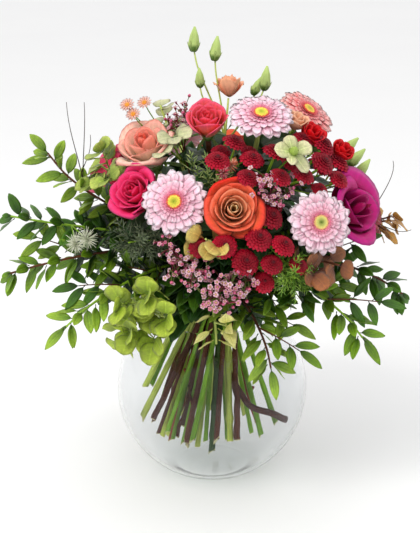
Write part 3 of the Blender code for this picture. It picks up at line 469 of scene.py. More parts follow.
class Route:
    """A line that can be asked for its place and frame at any length along it."""

    def __init__(self, points, radii):
        self.line = smoothed(points)
        steps = np.linalg.norm(np.diff(self.line, axis=0), axis=1)
        self.at = np.concatenate([[0], np.cumsum(steps)])
        self.length = self.at[-1]
        coarse = np.linspace(0, 1, len(radii))
        self.radii = np.interp(np.linspace(0, 1, len(self.line)), coarse, radii)
        tangents = np.gradient(self.line, axis=0)
        tangents /= np.linalg.norm(tangents, axis=1)[:, None]
        side = unit(np.cross(tangents[0], [0.31, 0.95, 0.05]))
        sides = []
        for tangent in tangents:
            side = unit(side - tangent * (side @ tangent))
            sides.append(side)
        self.tangents, self.sides = tangents, np.array(sides)

    def place(self, s):
        return np.array([np.interp(s, self.at, self.line[:, k]) for k in range(3)])

    def radius(self, s):
        return float(np.interp(s, self.at, self.radii))

    def frame(self, s):
        ahead = unit(np.array([np.interp(s, self.at, self.tangents[:, k]) for k in range(3)]))
        side = np.array([np.interp(s, self.at, self.sides[:, k]) for k in range(3)])
        side = unit(side - ahead * (side @ ahead))
        return ahead, side, np.cross(ahead, side)


def ring(centre, across, up, width, height, count=4, turn=0.0):
    """Corners on an ellipse, anticlockwise about across x up."""
    angles = turn + np.arange(count) * 2 * math.pi / count
    return (centre + np.cos(angles)[:, None] * across * width
            + np.sin(angles)[:, None] * up * height)


def shell_of(rings):
    """A shape through rings of corners as a tree of faces, with its lowest and highest corner."""
    points, faces, base = [], [], 0
    for index, corners in enumerate(rings):
        count = len(corners)
        points += [Vector(p) for p in corners]
        if index and len(rings[index - 1]) == count:
            for k in range(count):
                n = (k + 1) % count
                faces.append((base - count + k, base - count + n, base + n, base + k))
        base += count
    faces.append(tuple(range(len(rings[0]))))
    faces.append(tuple(range(base - len(rings[-1]), base)))
    corners = np.array(points)
    return BVHTree.FromPolygons(points, faces, epsilon=CLEAR), corners.min(axis=0), corners.max(axis=0)


def circle(sides, across, up):
    """Corners of a circle of radius 1 about nought, from across towards up."""
    angles = np.arange(sides) * 2 * math.pi / sides
    return np.cos(angles)[:, None] * across + np.sin(angles)[:, None] * up


def arc(radius, centre_height, start, end, steps):
    """Points of a vertical arc about a centre on the axis, from one elevation to another."""
    angles = np.linspace(start, end, steps + 1)
    return [(radius * math.cos(a), centre_height + radius * math.sin(a)) for a in angles]


# Heads


def head_frame(facing):
    up = unit(np.array([0, 0, 1.0]) - facing * facing[2])
    return np.cross(up, facing), up


def head_kind(kind, radius):
    if kind == "lisianthus":
        return "open" if radius > OPEN_BLOOM else "bud"
    return kind


def bloom_rings(kind, centre, facing, radius):
    across, up = head_frame(facing)
    if kind == "rose":
        return [ring(centre + facing * radius * ahead, across, up, radius * wide, radius * wide, ROSE_CORNERS)
                for ahead, wide in ROSE_RINGS]
    rings = []
    for ahead, wide in GERBERA_RINGS:
        corners = ring(np.zeros(3), across, up, radius * wide, radius * wide, GERBERA_CORNERS)
        if wide > 0.9:
            corners[1::2] *= PETAL_NOTCH
        rings.append(corners + centre + facing * radius * ahead)
    return rings


def spray_head_rings(kind, centre, facing, radius):
    across, up = head_frame(facing)
    shape = head_kind(kind, radius)
    corners = 4 if kind == "waxflower" else 8
    return [ring(centre + facing * radius * ahead, across, up, radius * wide, radius * wide, corners)
            for ahead, wide in HEAD_RINGS[shape]]


def spray_facing(centre):
    return unit(unit(centre - HEART) + np.array([0, 0, 0.15]))


# Plants


def stem_rings(route, nodes, start=0.0, corners=4):
    """A stem's rings, with a short stretch at each node for what grows there."""
    stations = [start]
    for s in sorted(nodes):
        while s - stations[-1] > PLAIN_STEP * 1.4:
            stations.append(stations[-1] + PLAIN_STEP)
        stations += [s - NODE_LENGTH / 2, s + NODE_LENGTH / 2]
    while route.length - stations[-1] > PLAIN_STEP * 1.4:
        stations.append(stations[-1] + PLAIN_STEP)
    stations.append(route.length)
    rings = []
    for s in stations:
        _, across, up = route.frame(s)
        thick = route.radius(s)
        rings.append(ring(route.place(s), across, up, thick, thick, corners, math.pi / corners))
    return rings


class Garden:
    """The shells that already stand in the bouquet."""

    def __init__(self):
        self.shells = []

    def add(self, rings):
        tree, low, high = shell_of(rings)
        self.shells.append((rings, tree, low - CLEAR, high + CLEAR))

    def remove(self, rings):
        self.shells = [entry for entry in self.shells if entry[0] is not rings]

    def free(self, rings, parent):
        tree, low, high = shell_of(rings)
        for other, shell, bottom, top in self.shells:
            apart = other is parent or (low >= top).any() or (high <= bottom).any()
            if not apart and tree.overlap(shell):
                return False
        return True


def leaf_rings(base, ahead, outward, length, width, lean, petiole):
    """A leaf that leaves the stem at a lean from it, as rings from its stalk to its tip."""
    along = unit(ahead * math.cos(lean) + outward * math.sin(lean))
    normal = unit(np.cross(along, np.cross(ahead, outward)))
    across = np.cross(normal, along)
    outline = [(petiole + 0.42 * (1 - petiole), 1.0, LEAF_HALF, 0.02), (1.0, 0.08, LEAF_TIP_HALF, 0.10)]
    if petiole > STALKED:
        outline.insert(0, (petiole, 0.10, STALK_HALF, 0))
    rings = []
    for share, wide, thick, sink in outline:
        centre = base + along * length * share - np.array([0, 0, sink * length])
        rings.append(ring(centre, across, normal, max(wide * width / 2, LEAF_HALF), thick))
    return rings


def turned_about(vector, axis, angle):
    return (vector * math.cos(angle) + np.cross(axis, vector) * math.sin(angle)
            + axis * (axis @ vector) * (1 - math.cos(angle)))


def lie_of(rings, base, size):
    """How a leaf lies, as (base, direction, normal, length)."""
    first, last = rings[0].mean(axis=0), rings[-1].mean(axis=0)
    corners = rings[-2]
    normal = unit(np.cross(corners[0] - corners[2], last - first))
    if normal[2] < 0:
        normal = -normal
    return base, unit(corners.mean(axis=0) - base), normal, size


def leafy_branch(row, route, garden):
    """A branch's rings, and how each of its paired leaves lies, turned until it has room."""
    kind, _, _, _, length, width, spacing, stretch = row
    count = int(stretch / spacing)
    nodes = [route.length - LAST_PAIR - spacing * k for k in range(count)][::-1]
    branch, leaves = stem_rings(route, nodes), []
    for number, s in enumerate(nodes):
        ahead, side, _ = route.frame(s)
        flat = np.cross(ahead, UP)
        flat = unit(flat) if np.linalg.norm(flat) > 0.2 else side
        size = (0.72 + 0.28 * math.sin(math.pi * (number + 0.7) / count)) * length
        twist = math.radians(28) * (1 if number % 2 else -1)
        taken = []
        for hand in (1, -1):
            for turn in TURNS:
                outward = turned_about(flat * hand, ahead, twist * hand + turn)
                if any(outward @ other > 0.3 for other in taken):
                    continue
                base = route.place(s) + outward * route.radius(s) + outward * LEAF_STAND
                rings = leaf_rings(base, ahead, outward, size, width, LEAN[kind], PETIOLE[kind])
                if garden.free(rings, branch):
                    leaves.append(lie_of(rings, base, size))
                    garden.add(rings)
                    taken.append(outward)
                    break
    return branch, leaves


def neck_of(centre, facing, kind, radius):
    """Where a spray's head joins its twig."""
    return centre + facing * radius * HEAD_RINGS[head_kind(kind, radius)][0][0]


def main_stems():
    """Every plant's stem line and radii, and every head's place, once all have settled."""
    crowd, radii_of = Crowd(), {}
    for order, (name, row) in enumerate({**BLOOMS, **SPRAYS, **BRANCHES}.items()):
        kind, head = row[0], None
        if name in BLOOMS:
            _, centre, bearing, elevation, radius = row
            centre, facing, head = over_rim(centre), direction(bearing, elevation), name
            across, up = head_frame(facing)
            balls = [(radius * (x * across + y * up + z * facing), radius * size)
                     for (x, y, z), size in BALLS[kind]]
            crowd.add_head(name, order, centre, balls)
            tip = centre - facing * (NECK[kind] * radius + STEM_SEAT)
            thick = GERBERA_STEM if kind == "gerbera" else ROSE_STEM
            foot_radius, tip_radius = thick, thick * 0.8
        elif name in SPRAYS:
            for number, (centre, radius) in enumerate(row[1]):
                crowd.add_head(f"{name}.{number}", order, over_rim(centre), [(np.zeros(3), radius)])
            centre, radius = over_rim(row[1][0][0]), row[1][0][1]
            facing, head = spray_facing(centre), f"{name}.0"
            tip = neck_of(centre, facing, kind, radius)
            foot_radius, tip_radius = THICKNESS[kind]
        else:
            tip, facing = over_rim(row[1]), direction(row[2], row[3])
            foot_radius, tip_radius = THICKNESS[kind]
        points = main_line(tip, facing, order)
        radii_of[name] = np.linspace(foot_radius, tip_radius, len(points))
        held = np.zeros(len(points), bool)
        held[-2:] = True
        crowd.add_line(name, order, points, radii_of[name], held, head)
    lines, places = crowd.settle(SETTLE_ROUNDS)
    return crowd, lines, radii_of, places


def side_twigs(crowd, lines, radii_of, routes, places):
    """The sprays' side twigs, settled among the stems: fork length and route by name."""
    twigs, forks = Crowd(), {}
    orders = {name: order for order, name in enumerate(lines)}
    for name, order in orders.items():
        twigs.add_line(name, order, lines[name], radii_of[name], np.ones(len(lines[name]), bool))
    for index, (body, place) in enumerate(places.items()):
        balls = [(offset, radius) for owner, offset, radius
                 in zip(crowd.ball_body, crowd.ball_offset, crowd.ball_radius) if owner == index]
        twigs.add_head(body, orders[body.split(".")[0]], place, balls, free=False)
    for name, (kind, heads) in SPRAYS.items():
        route = routes[name]
        for number, (_, radius) in enumerate(heads[1:], 1):
            centre = places[f"{name}.{number}"]
            facing = spray_facing(centre)
            neck = neck_of(centre, facing, kind, radius)
            s = route.length - FORK[kind] - FORK_STEP * number
            root = route.place(s)
            span = np.linalg.norm(neck - root)
            leave = unit(route.frame(s)[0] + 0.6 * unit(neck - root)) * span * 0.8
            points = curve_between(root, neck, leave, facing * span * 0.7, 7)
            held = np.zeros(len(points), bool)
            held[:1] = held[-2:] = True
            radii = THICKNESS[kind][1] * np.linspace(1.1, 0.8, len(points))
            twigs.add_line(f"{name}.{number}", orders[name], points, radii, held)
            forks[f"{name}.{number}"] = (s, radii)
    twig_lines, _ = twigs.settle(TWIG_ROUNDS)
    return {name: (s, Route(twig_lines[name], radii)) for name, (s, radii) in forks.items()}


def plant_spray(name, route, places, twigs, garden):
    """A spray's stem and leading head, and its side twigs and their heads, put in the garden."""
    kind, heads = SPRAYS[name]
    for number, (_, radius) in enumerate(heads):
        centre = places[f"{name}.{number}"]
        if number:
            rings = stem_rings(twigs[f"{name}.{number}"][1], [], start=TWIG_STAND)
        else:
            rings = stem_rings(route, [twigs[f"{name}.{k}"][0] for k in range(1, len(heads))])
        garden.add(rings + spray_head_rings(kind, centre, spray_facing(centre), radius))


# --- Fine shapes ---------------------------------------------------------------------------------


def linear(red, green, blue):
    """A colour given as the eye reads it, from 0 to 255, as linear light."""
    share = np.array([red, green, blue], float) / 255
    return np.where(share <= 0.04045, share / 12.92, ((share + 0.055) / 1.055) ** 2.4)


def lit(tones):
    """Each tone as linear light."""
    return [linear(*tone) for tone in tones]


def ramp(at, stops):
    """Colours along stops of (place, colour), for an array of places."""
    places = [place for place, _ in stops]
    colours = np.array([colour for _, colour in stops])
    return np.stack([np.interp(at, places, colours[:, k]) for k in range(3)], axis=-1)


SHEET_PLANS = {}


def sheet_plan(rows, cols):
    """Corner numbers of a closed thin sheet: its top, its underside and the edge that they share."""
    if (rows, cols) not in SHEET_PLANS:
        top = np.arange(rows * cols).reshape(rows, cols)
        under = top.copy()
        inner = (rows - 2) * (cols - 2)
        under[1:-1, 1:-1] = rows * cols + np.arange(inner).reshape(rows - 2, cols - 2)
        up = np.stack([top[:-1, :-1], top[:-1, 1:], top[1:, 1:], top[1:, :-1]], -1).reshape(-1, 4)
        down = np.stack([under[:-1, :-1], under[1:, :-1], under[1:, 1:], under[:-1, 1:]], -1).reshape(-1, 4)
        SHEET_PLANS[rows, cols] = np.vstack([up, down])
    return SHEET_PLANS[rows, cols]


class Mould:
    """Points, faces, paint and flow of one piece, gathered shape by shape."""

    def __init__(self):
        self.points, self.paint, self.flow, self.quads, self.slots, self.count = [], [], [], [], [], 0

    def add(self, points, quads, paint, flow, slot):
        self.points.append(points)
        self.paint.append(np.broadcast_to(paint, points.shape))
        self.flow.append(flow)
        self.quads.append(quads + self.count)
        self.slots.append(np.full(len(quads), slot))
        self.count += len(points)

    def sheet(self, middle, thick, paint, slot=0, seed=0.0):
        """A closed sheet about a middle grid, thickest inside and sharp at its edge."""
        rows, cols, _ = middle.shape
        normal = np.cross(np.gradient(middle, axis=1), np.gradient(middle, axis=0))
        normal /= np.linalg.norm(normal, axis=2)[:, :, None] + 1e-12
        lift = np.zeros((rows, cols, 1))
        lift[1:-1, 1:-1] = thick / 2
        top, under = middle + normal * lift, middle - normal * lift
        points = np.vstack([top.reshape(-1, 3), under[1:-1, 1:-1].reshape(-1, 3)])
        paint = np.broadcast_to(paint, middle.shape)
        colours = np.vstack([paint.reshape(-1, 3), paint[1:-1, 1:-1].reshape(-1, 3)])
        along, across = np.meshgrid(np.linspace(0, 1, rows), np.linspace(-1, 1, cols), indexing="ij")
        flow = np.stack([across, along, np.full_like(along, seed)], -1)
        flow = np.vstack([flow.reshape(-1, 3), flow[1:-1, 1:-1].reshape(-1, 3)])
        self.add(points, sheet_plan(rows, cols), colours, flow, slot)

    def rings(self, rings, paint, slot=0, seed=0.0):
        """A closed body through rings of corners, each end drawn in to a point."""
        rings = np.array(rings)
        count, sides, _ = rings.shape
        points = np.vstack([rings[0].mean(axis=0), rings.reshape(-1, 3), rings[-1].mean(axis=0)])
        level = np.concatenate([[0], np.repeat(np.arange(count), sides), [count - 1]])
        index = np.zeros((count + 2, sides), int)
        index[1:-1] = 1 + np.arange(count * sides).reshape(count, sides)
        index[-1] = len(points) - 1
        after = np.roll(index, -1, axis=1)
        quads = np.stack([index[:-1], after[:-1], after[1:], index[1:]], -1).reshape(-1, 4)
        paint = np.asarray(paint, float)
        if paint.ndim == 2:
            paint = paint[level]
        around = np.concatenate([[0], np.tile(np.arange(sides) / sides, count), [0]]) * 2 - 1
        flow = np.stack([around, level / max(count - 1, 1), np.full(len(points), seed)], -1)
        self.add(points, quads, paint, flow, slot)

    def tube(self, points, radii, paint, sides=10, slot=0, seed=0.0, slant=0.0):
        """A round stem along a line, its foot cut at a slant."""
        tangents = np.gradient(points, axis=0)
        tangents /= np.linalg.norm(tangents, axis=1)[:, None]
        side = unit(np.cross(tangents[0], [0.31, 0.95, 0.05]))
        angles = np.arange(sides) * 2 * math.pi / sides
        rings = []
        for point, ahead, radius in zip(points, tangents, np.broadcast_to(radii, len(points))):
            side = unit(side - ahead * (side @ ahead))
            rings.append(point + radius * circle(sides, side, np.cross(ahead, side)))
        rings[0] = rings[0] + tangents[0] * (slant * np.cos(angles) * np.max(radii))[:, None]
        self.rings(rings, paint, slot, seed)

    def turned(self, centre, frame, size, profile, paint, sides=10, slot=0, seed=0.0):
        """A turned shape about the frame's third axis, from (ahead, radius) pairs as shares of its size."""
        across, up, facing = frame
        round_it = circle(sides, across, up)
        self.rings([centre + facing * (ahead * size) + round_it * (wide * size) for ahead, wide in profile],
                   paint, slot, seed)

    def piece(self, name, looks, wanted, node, slot):
        """The finished object, riding on the root and standing for its CAD node."""
        points, quads = np.vstack(self.points), np.vstack(self.quads)
        slots = np.concatenate(self.slots)
        corners = [list(dict.fromkeys(quad)) for quad in quads.tolist()]
        keep = [k for k, face in enumerate(corners) if len(face) > 2]
        mesh = bpy.data.meshes.new(name)
        mesh.from_pydata(points.tolist(), [], [corners[k] for k in keep])
        mesh.polygons.foreach_set("material_index", slots[keep].astype(np.int32))
        paint = mesh.attributes.new("paint", "FLOAT_COLOR", "POINT")
        colours = np.column_stack([np.vstack(self.paint), np.ones(len(points))])
        paint.data.foreach_set("color", colours.astype(np.float32).ravel())
        flow = mesh.attributes.new("flow", "FLOAT_VECTOR", "POINT")
        flow.data.foreach_set("vector", np.vstack(self.flow).astype(np.float32).ravel())
        mesh.shade_smooth()
        for look in wanted:
            mesh.materials.append(looks[look])
        made = placed(name, mesh)
        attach(made, "root")
        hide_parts(node)
        return made


# --- Petals and leaves ---------------------------------------------------------------------------


def frame_about(facing):
    across, up = head_frame(facing)
    return across, up, facing


def across_of(frame, angle):
    """The way out from a head's axis at an angle about it."""
    return math.cos(angle) * frame[0] + math.sin(angle) * frame[1]


def petal_width(along, shoulder):
    """Half width along a petal, as a share: narrow at the foot, round past the shoulder."""
    foot = 0.40 + 0.60 * np.clip(along / shoulder, 0, 1) ** 0.8
    end = np.clip((along - shoulder) / (1.001 - shoulder), 0, 1)
    return foot * np.sqrt(1 - 0.94 * end**3)


def ray_petal(mould, centre, frame, angle, start, reach, width, rise, curl, colours, rng, thick=0.0005,
              rows=8, cols=5, slot=0):
    """One narrow petal that leaves a flower's disc at an angle about its axis."""
    facing, out = frame[2], across_of(frame, angle)
    side = np.cross(facing, out)
    along = np.linspace(0, 1, rows)
    length = reach - start
    r = start + length * along * (1 - 0.12 * abs(rise) * along)
    z = length * (rise * along - curl * along**2.2)
    half = width / 2 * petal_width(along, 0.74)
    v = np.linspace(-1, 1, cols)
    cup = 0.14 * width * (v**2 - 0.5)
    lean = rng.uniform(-0.09, 0.09)
    middle = (centre + out * r[:, None, None] + facing * (z[:, None, None] + cup[None, :, None])
              + side * (half[:, None] * v[None, :] + (lean * length * along**1.6)[:, None])[..., None])
    shade = rng.uniform(0.92, 1.06)
    paint = ramp(along, colours)[:, None] * shade * np.ones((1, cols, 1))
    mould.sheet(middle, thick, np.clip(paint, 0, 1), slot, rng.uniform(0, 50))


GERBERA_LAYERS = (
    # petals, start, reach, width, rise, curl, shift of colour towards the ring
    (21, 0.17, 1.03, 0.300, 0.04, 0.10, 0.0),
    (21, 0.17, 0.94, 0.290, 0.12, 0.12, 0.02),
    (20, 0.17, 0.70, 0.230, 0.24, 0.16, 0.12),
    (24, 0.17, 0.50, 0.120, 0.42, 0.20, 0.36),
    (30, 0.17, 0.39, 0.062, 0.62, 0.18, 0.66),
    (36, 0.16, 0.33, 0.038, 0.85, 0.10, 0.90),
)
PINK = {"tip": (255, 236, 242), "middle": (255, 196, 216), "foot": (232, 74, 122), "ring": (226, 110, 84),
        "disc": (248, 228, 100), "heart": (176, 196, 60)}
CORAL = {"tip": (255, 206, 200), "middle": (252, 150, 150), "foot": (226, 76, 92), "ring": (216, 80, 66),
         "disc": (240, 206, 100), "heart": (180, 176, 70)}
GREEN_HEART = dict(PINK, ring=(240, 190, 130), disc=(236, 228, 140), heart=(96, 130, 40))
DISC_FLORETS = 150
DISC_RADIUS = 0.195
BRACTS = 34


def gerbera(mould, centre, facing, radius, colours, rng):
    frame = frame_about(facing)
    c = {key: linear(*value) for key, value in colours.items()}
    for layer, (count, start, reach, width, rise, curl, shift) in enumerate(GERBERA_LAYERS):
        deep = c["foot"] * (1 - shift) + c["ring"] * shift
        mid = c["middle"] * (1 - 0.6 * shift) + c["foot"] * 0.6 * shift
        tip = c["tip"] * (1 - shift) + c["foot"] * shift
        stops = [(0, deep), (0.34, deep * 0.5 + mid * 0.5), (0.66, mid), (1.0, tip)]
        for k in range(count):
            angle = 2 * math.pi * (k + 0.5 * (layer % 2) + rng.uniform(-0.22, 0.22)) / count
            ray_petal(mould, centre + facing * radius * (0.012 * layer - 0.02), frame, angle, radius * start,
                      radius * reach * rng.uniform(0.93, 1.02), radius * width * rng.uniform(0.9, 1.08),
                      rise + rng.uniform(-0.05, 0.05), curl, stops, rng)
    for k in range(DISC_FLORETS):
        share = math.sqrt((k + 0.5) / DISC_FLORETS)
        r = radius * DISC_RADIUS * share
        out = across_of(frame, k * GOLDEN_TURN)
        axis = unit(facing + out * 0.5 * share)
        spot = centre + out * r + facing * radius * (0.11 - 0.05 * share**2)
        if share > 0.84:
            colour = c["ring"]
        else:
            colour = c["heart"] * (1 - share) ** 1.5 + c["disc"] * (1 - (1 - share) ** 1.5)
        size = radius * (0.014 + 0.010 * share)
        # Each floret is painted darker at its foot and lighter at its tip: painted shade where the florets
        # crowd and painted light on their tips.
        mould.turned(spot, frame_about(axis), size, [(0, 1), (2.2, 1.15), (3.4, 0.4)],
                     [colour * 0.7, colour, np.minimum(colour * 1.25, 1)], 5, 1, rng.uniform(0, 9))
    mould.turned(centre, frame, radius, [(-0.03, 0.02), (0.02, 0.18), (0.07, 0.13), (0.09, 0.04)],
                 c["heart"] * 0.6, 16, 1)
    green = linear(104, 132, 58)
    mould.turned(centre, frame, radius, [(-0.42, 0.10), (-0.30, 0.24), (-0.16, 0.31), (-0.04, 0.30)],
                 [green * 0.8, green, green, green * 1.1], 18, 2)
    for k in range(BRACTS):
        angle = 2 * math.pi * (k + 0.5 * (k % 2)) / BRACTS
        ray_petal(mould, centre - facing * radius * 0.20, frame, angle, radius * 0.20, radius * 0.42,
                  radius * 0.06, 0.55, 0.1, [(0, green), (1, green * 1.2)], rng)


def rose_petal(mould, centre, frame, angle, foot, lip, height, spread, reflex, colours, rng, thick=0.0006):
    """One broad cupped petal about a rose's axis, its rim turned back by reflex."""
    across, up, facing = frame
    rows, cols = 10, 9
    u, v = np.meshgrid(np.linspace(0, 1, rows), np.linspace(-1, 1, cols), indexing="ij")
    belly = np.sin(np.pi * u * 0.62) / math.sin(math.pi * 0.62)
    r = foot + (lip - foot) * belly + lip * 0.06 * v**2 * u
    back = np.clip(u - 0.66, 0, 1) / 0.34
    roll = reflex * (1 + 0.35 * rng.uniform(-1, 1))
    r = r + roll * back**1.7 * (1 - 0.20 * v**2)
    wave = 0.035 * lip * np.sin(v * rng.uniform(2.5, 5) + rng.uniform(0, 6)) * u**2
    width = spread * (0.42 + 0.58 * np.sin(np.pi * np.clip(u * 0.90 + 0.06, 0, 1)) ** 0.5)
    turn = angle + v * width + rng.uniform(-0.05, 0.05)
    top = 1 - 0.24 * np.abs(v) ** 2.8
    z = height * (u * top) - roll * 0.55 * back**2 + wave
    point = rng.uniform(0.0, 0.05) * height * np.exp(-(v / 0.2) ** 2) * u**4
    out = np.cos(turn)[..., None] * across + np.sin(turn)[..., None] * up
    middle = centre + out * (r + wave)[..., None] + facing * (z + point)[..., None]
    edge = np.clip(np.maximum(np.abs(v) ** 4 * u, u**4), 0, 1)[..., None]
    low, high, rim = colours
    rise = u[..., None] ** 0.8
    paint = (low * (1 - rise) + high * rise) * (1 - edge) + rim * edge
    mould.sheet(middle, thick, np.clip(paint * rng.uniform(0.94, 1.06), 0, 1), 0, rng.uniform(0, 50))


def rose(mould, centre, facing, radius, style, rng):
    """A rose of spiralled petals: tight upright ones inside, open ones outside, the inner petals' feet
    painted darker as shade in the heart.
    """
    frame = frame_about(facing)
    low, inner, outer, rim_in, rim_out = lit(style[1:6])
    count, openness, slimming = style[6:]
    base = centre - facing * radius * 0.92
    for k in range(count):
        share = k / (count - 1)
        tone = inner * (1 - share**0.6) + outer * share**0.6
        rim = rim_in * (1 - share**0.7) + rim_out * share**0.7
        heart = share**1.15
        foot = radius * (0.04 + 0.20 * share)
        lip = radius * (0.10 + 0.84 * heart)
        height = radius * (1.64 - 0.34 * share * openness - 0.24 * (1 - share))
        spread = 1.9 - slimming * share
        reflex = radius * openness * 0.42 * max(share - 0.3, 0) / 0.7
        drift = (across_of(frame, k * 1.7) * radius * 0.05 * share * rng.uniform(0, 1))
        # The low tone at each petal's foot is darkened towards the heart, to 0.45 at the innermost petal:
        # painted shade deep in the bloom.
        rose_petal(mould, base + drift, frame, k * GOLDEN_TURN + 0.3, foot, lip, height, spread, reflex,
                   (low * (0.45 + 0.55 * share), tone, tone * 0.3 + rim * 0.7), rng)
    green = linear(96, 128, 56)
    mould.turned(centre, frame, radius, [(-1.30, 0.14), (-1.16, 0.26), (-0.98, 0.34), (-0.86, 0.26)],
                 [green * 0.8, green, green, green], 14, 1)
    for k in range(5):
        angle = 2 * math.pi * k / 5 + 0.4
        ray_petal(mould, centre - facing * radius * 0.98, frame, angle, radius * 0.22, radius * 1.0,
                  radius * 0.22, -0.15, 0.25, [(0, green), (1, green * 1.1)], rng, 0.0008, slot=1)


ROSE_STYLES = {
    # slot, low, inner, outer, rim inside, rim outside, petals, openness, slimming
    "rose_1": ("rose_peach", (255, 246, 206), (252, 120, 84), (255, 248, 228), (240, 40, 30), (244, 70, 50),
               16, 0.9, 0.7),
    "rose_2": ("rose_orange", (255, 226, 150), (255, 216, 150), (240, 26, 10), (255, 240, 190), (236, 20, 12),
               20, 0.8, 0.7),
    "rose_3": ("rose_coral", (252, 170, 110), (240, 50, 50), (250, 96, 98), (232, 34, 54), (248, 84, 140),
               20, 0.5, 0.8),
    "rose_4": ("rose_crimson", (190, 4, 50), (220, 6, 66), (240, 24, 98), (214, 4, 60), (246, 74, 140),
               21, 0.9, 0.8),
    "rose_5": ("rose_magenta", (120, 0, 50), (120, 0, 44), (204, 0, 112), (150, 0, 64), (190, 20, 146),
               9, 1.3, 0.35),
    "rose_6": ("rose_dusty", (120, 14, 30), (120, 10, 34), (190, 46, 70), (150, 20, 40), (230, 140, 140),
               19, 0.9, 0.8),
    "rose_7": ("rose_orange", (250, 180, 110), (250, 150, 90), (246, 96, 60), (250, 190, 120), (236, 60, 44),
               24, 0.85, 0.8),
    "rose_8": ("rose_coral", (200, 20, 60), (224, 20, 74), (244, 62, 108), (220, 16, 70), (250, 110, 150),
               24, 0.9, 0.8),
}


SANTINI = ((70, 0, 12), (178, 0, 36), (226, 34, 76))
BUTTON_LAYERS = (
    # petals, start, reach, width, rise
    (20, 0.40, 1.00, 0.34, 0.06),
    (19, 0.34, 0.90, 0.32, 0.26),
    (17, 0.28, 0.76, 0.29, 0.48),
    (14, 0.20, 0.60, 0.26, 0.72),
    (11, 0.12, 0.42, 0.22, 0.95),
    (7, 0.05, 0.24, 0.17, 1.2),
)


def button(mould, centre, facing, radius, rng, tones=SANTINI):
    """A santini: a low dome of short blunt petals about a dark eye."""
    frame = frame_about(facing)
    dark, middle, light = lit(tones)
    shade = rng.uniform(0.8, 1.15)
    for layer, (count, start, reach, width, rise) in enumerate(BUTTON_LAYERS):
        for k in range(count):
            angle = 2 * math.pi * (k + 0.5 * (layer % 2) + rng.uniform(-0.15, 0.15)) / count
            tone = middle * (1 - 0.10 * layer) * shade
            tip = (light if layer < 2 else light * 0.3 + tone * 0.7) * shade
            ray_petal(mould, centre + facing * radius * (0.05 * layer - 0.10), frame, angle, radius * start,
                      radius * reach * rng.uniform(0.96, 1.03), radius * width, rise, 0.42,
                      [(0, dark), (0.5, tone), (0.86, tone), (1, tip)], rng, 0.0007, 6, 4)
    mould.turned(centre, frame, radius, [(-0.1, 0.1), (0.10, 0.28), (0.26, 0.16), (0.30, 0.04)],
                 [dark, dark, dark * 1.4, dark], 10, 0)
    green = linear(86, 112, 50)
    mould.turned(centre, frame, radius, [(-0.60, 0.16), (-0.42, 0.42), (-0.18, 0.50), (-0.05, 0.30)],
                 [green * 0.8, green, green, green], 10, 1)


def floret(mould, centre, facing, radius, rng):
    """A waxflower: five round petals about a maroon eye, on a small cup."""
    frame = frame_about(facing)
    pale, pink = linear(252, 214, 224), linear(232, 140, 168)
    wine = linear(128, 26, 60)
    tone = rng.uniform(0, 1)
    tip = pale * tone + pink * (1 - tone)
    for k in range(5):
        petal_disc(mould, centre, frame, 2 * math.pi * k / 5 + rng.uniform(-0.1, 0.1), radius, tip, wine, rng)
    mould.turned(centre, frame, radius, [(-1.1, 0.15), (-0.5, 0.42), (0.05, 0.40), (0.22, 0.12)],
                 [wine * 0.7, wine * 1.2, wine, linear(236, 200, 120)], 6, 1)


def petal_disc(mould, centre, frame, angle, radius, tip, foot, rng):
    facing, out = frame[2], across_of(frame, angle)
    side = np.cross(facing, out)
    u, v = np.meshgrid(np.linspace(0, 1, 4), np.linspace(-1, 1, 4), indexing="ij")
    half = 0.46 * radius * np.sin(np.pi * (0.10 + 0.82 * u)) ** 0.7
    lift = 0.34 * radius * u * (1 - 0.5 * u) + 0.10 * radius * v**2
    middle = (centre + out * (radius * (0.18 + 0.82 * u))[..., None] + side * (half * v)[..., None]
              + facing * lift[..., None])
    paint = foot * (1 - u[..., None]) ** 2.5 + tip * (1 - (1 - u[..., None]) ** 2.5)
    mould.sheet(middle, 0.0003, paint, 0, rng.uniform(0, 50))


LEAF_SHAPES = {
    "oval": lambda u: np.sin(np.pi * u**0.92) ** 0.72,
    "round": lambda u: np.sqrt(np.clip(1 - (2 * u - 1) ** 2, 0, 1)) ** 0.9,
    "lance": lambda u: np.sin(np.pi * u**0.62) ** 1.1,
}


LEAF_ROWS = 9
LEAF_COLS = 6


def leaf(mould, base, along, normal, length, width, shape, tones, rng, fold=0.12, droop=0.12, slot=0,
         stalk=0.10):
    """A leaf with a short stalk, folded a little at its midrib and bent down towards its tip."""
    along = unit(along)
    normal = unit(normal - along * (normal @ along))
    side = np.cross(normal, along)
    twist = rng.uniform(-0.25, 0.25)
    u, v = np.meshgrid(np.linspace(0, 1, LEAF_ROWS), np.linspace(-1, 1, LEAF_COLS), indexing="ij")
    half = width / 2 * LEAF_SHAPES[shape](np.clip(u, 0.001, 0.999)) + 0.0003
    bend = length * droop * u**2
    ripple = width * 0.04 * np.sin(u * 9 + twist * 20) * v
    cup = fold * width * (np.abs(v) ** 1.3 - 0.4) * np.sin(np.pi * u) + ripple
    turn = twist * u
    middle = (base + along * (length * (stalk + (1 - stalk) * u))[..., None]
              + side * (half * v * np.cos(turn))[..., None]
              + normal * (cup + half * v * np.sin(turn))[..., None] - UP * bend[..., None])
    low, high = (np.asarray(tone) for tone in tones)
    mix = np.clip(u * 0.7 + 0.3 * np.abs(v), 0, 1)[..., None]
    paint = low * (1 - mix) + high * mix
    mould.sheet(middle, 0.0006, np.clip(paint * rng.uniform(0.85, 1.15), 0, 1), slot, rng.uniform(0, 50))
    mould.tube(np.array([base, base + along * length * stalk * 0.6, base + along * length * (stalk + 0.03)]),
               [0.0006, 0.0005, 0.0004], low * 0.9, 5, slot)


# --- Stems ---------------------------------------------------------------------------------------

GREEN_STEM = ((100, 146, 16), (138, 178, 44))
DARK_STEM = ((28, 60, 10), (62, 98, 22))
WOODY_STEM = ((76, 32, 12), (98, 50, 24))
PALE_STEM = ((176, 192, 78), (188, 202, 108))
RED_STEM = ((138, 44, 20), (150, 78, 34))


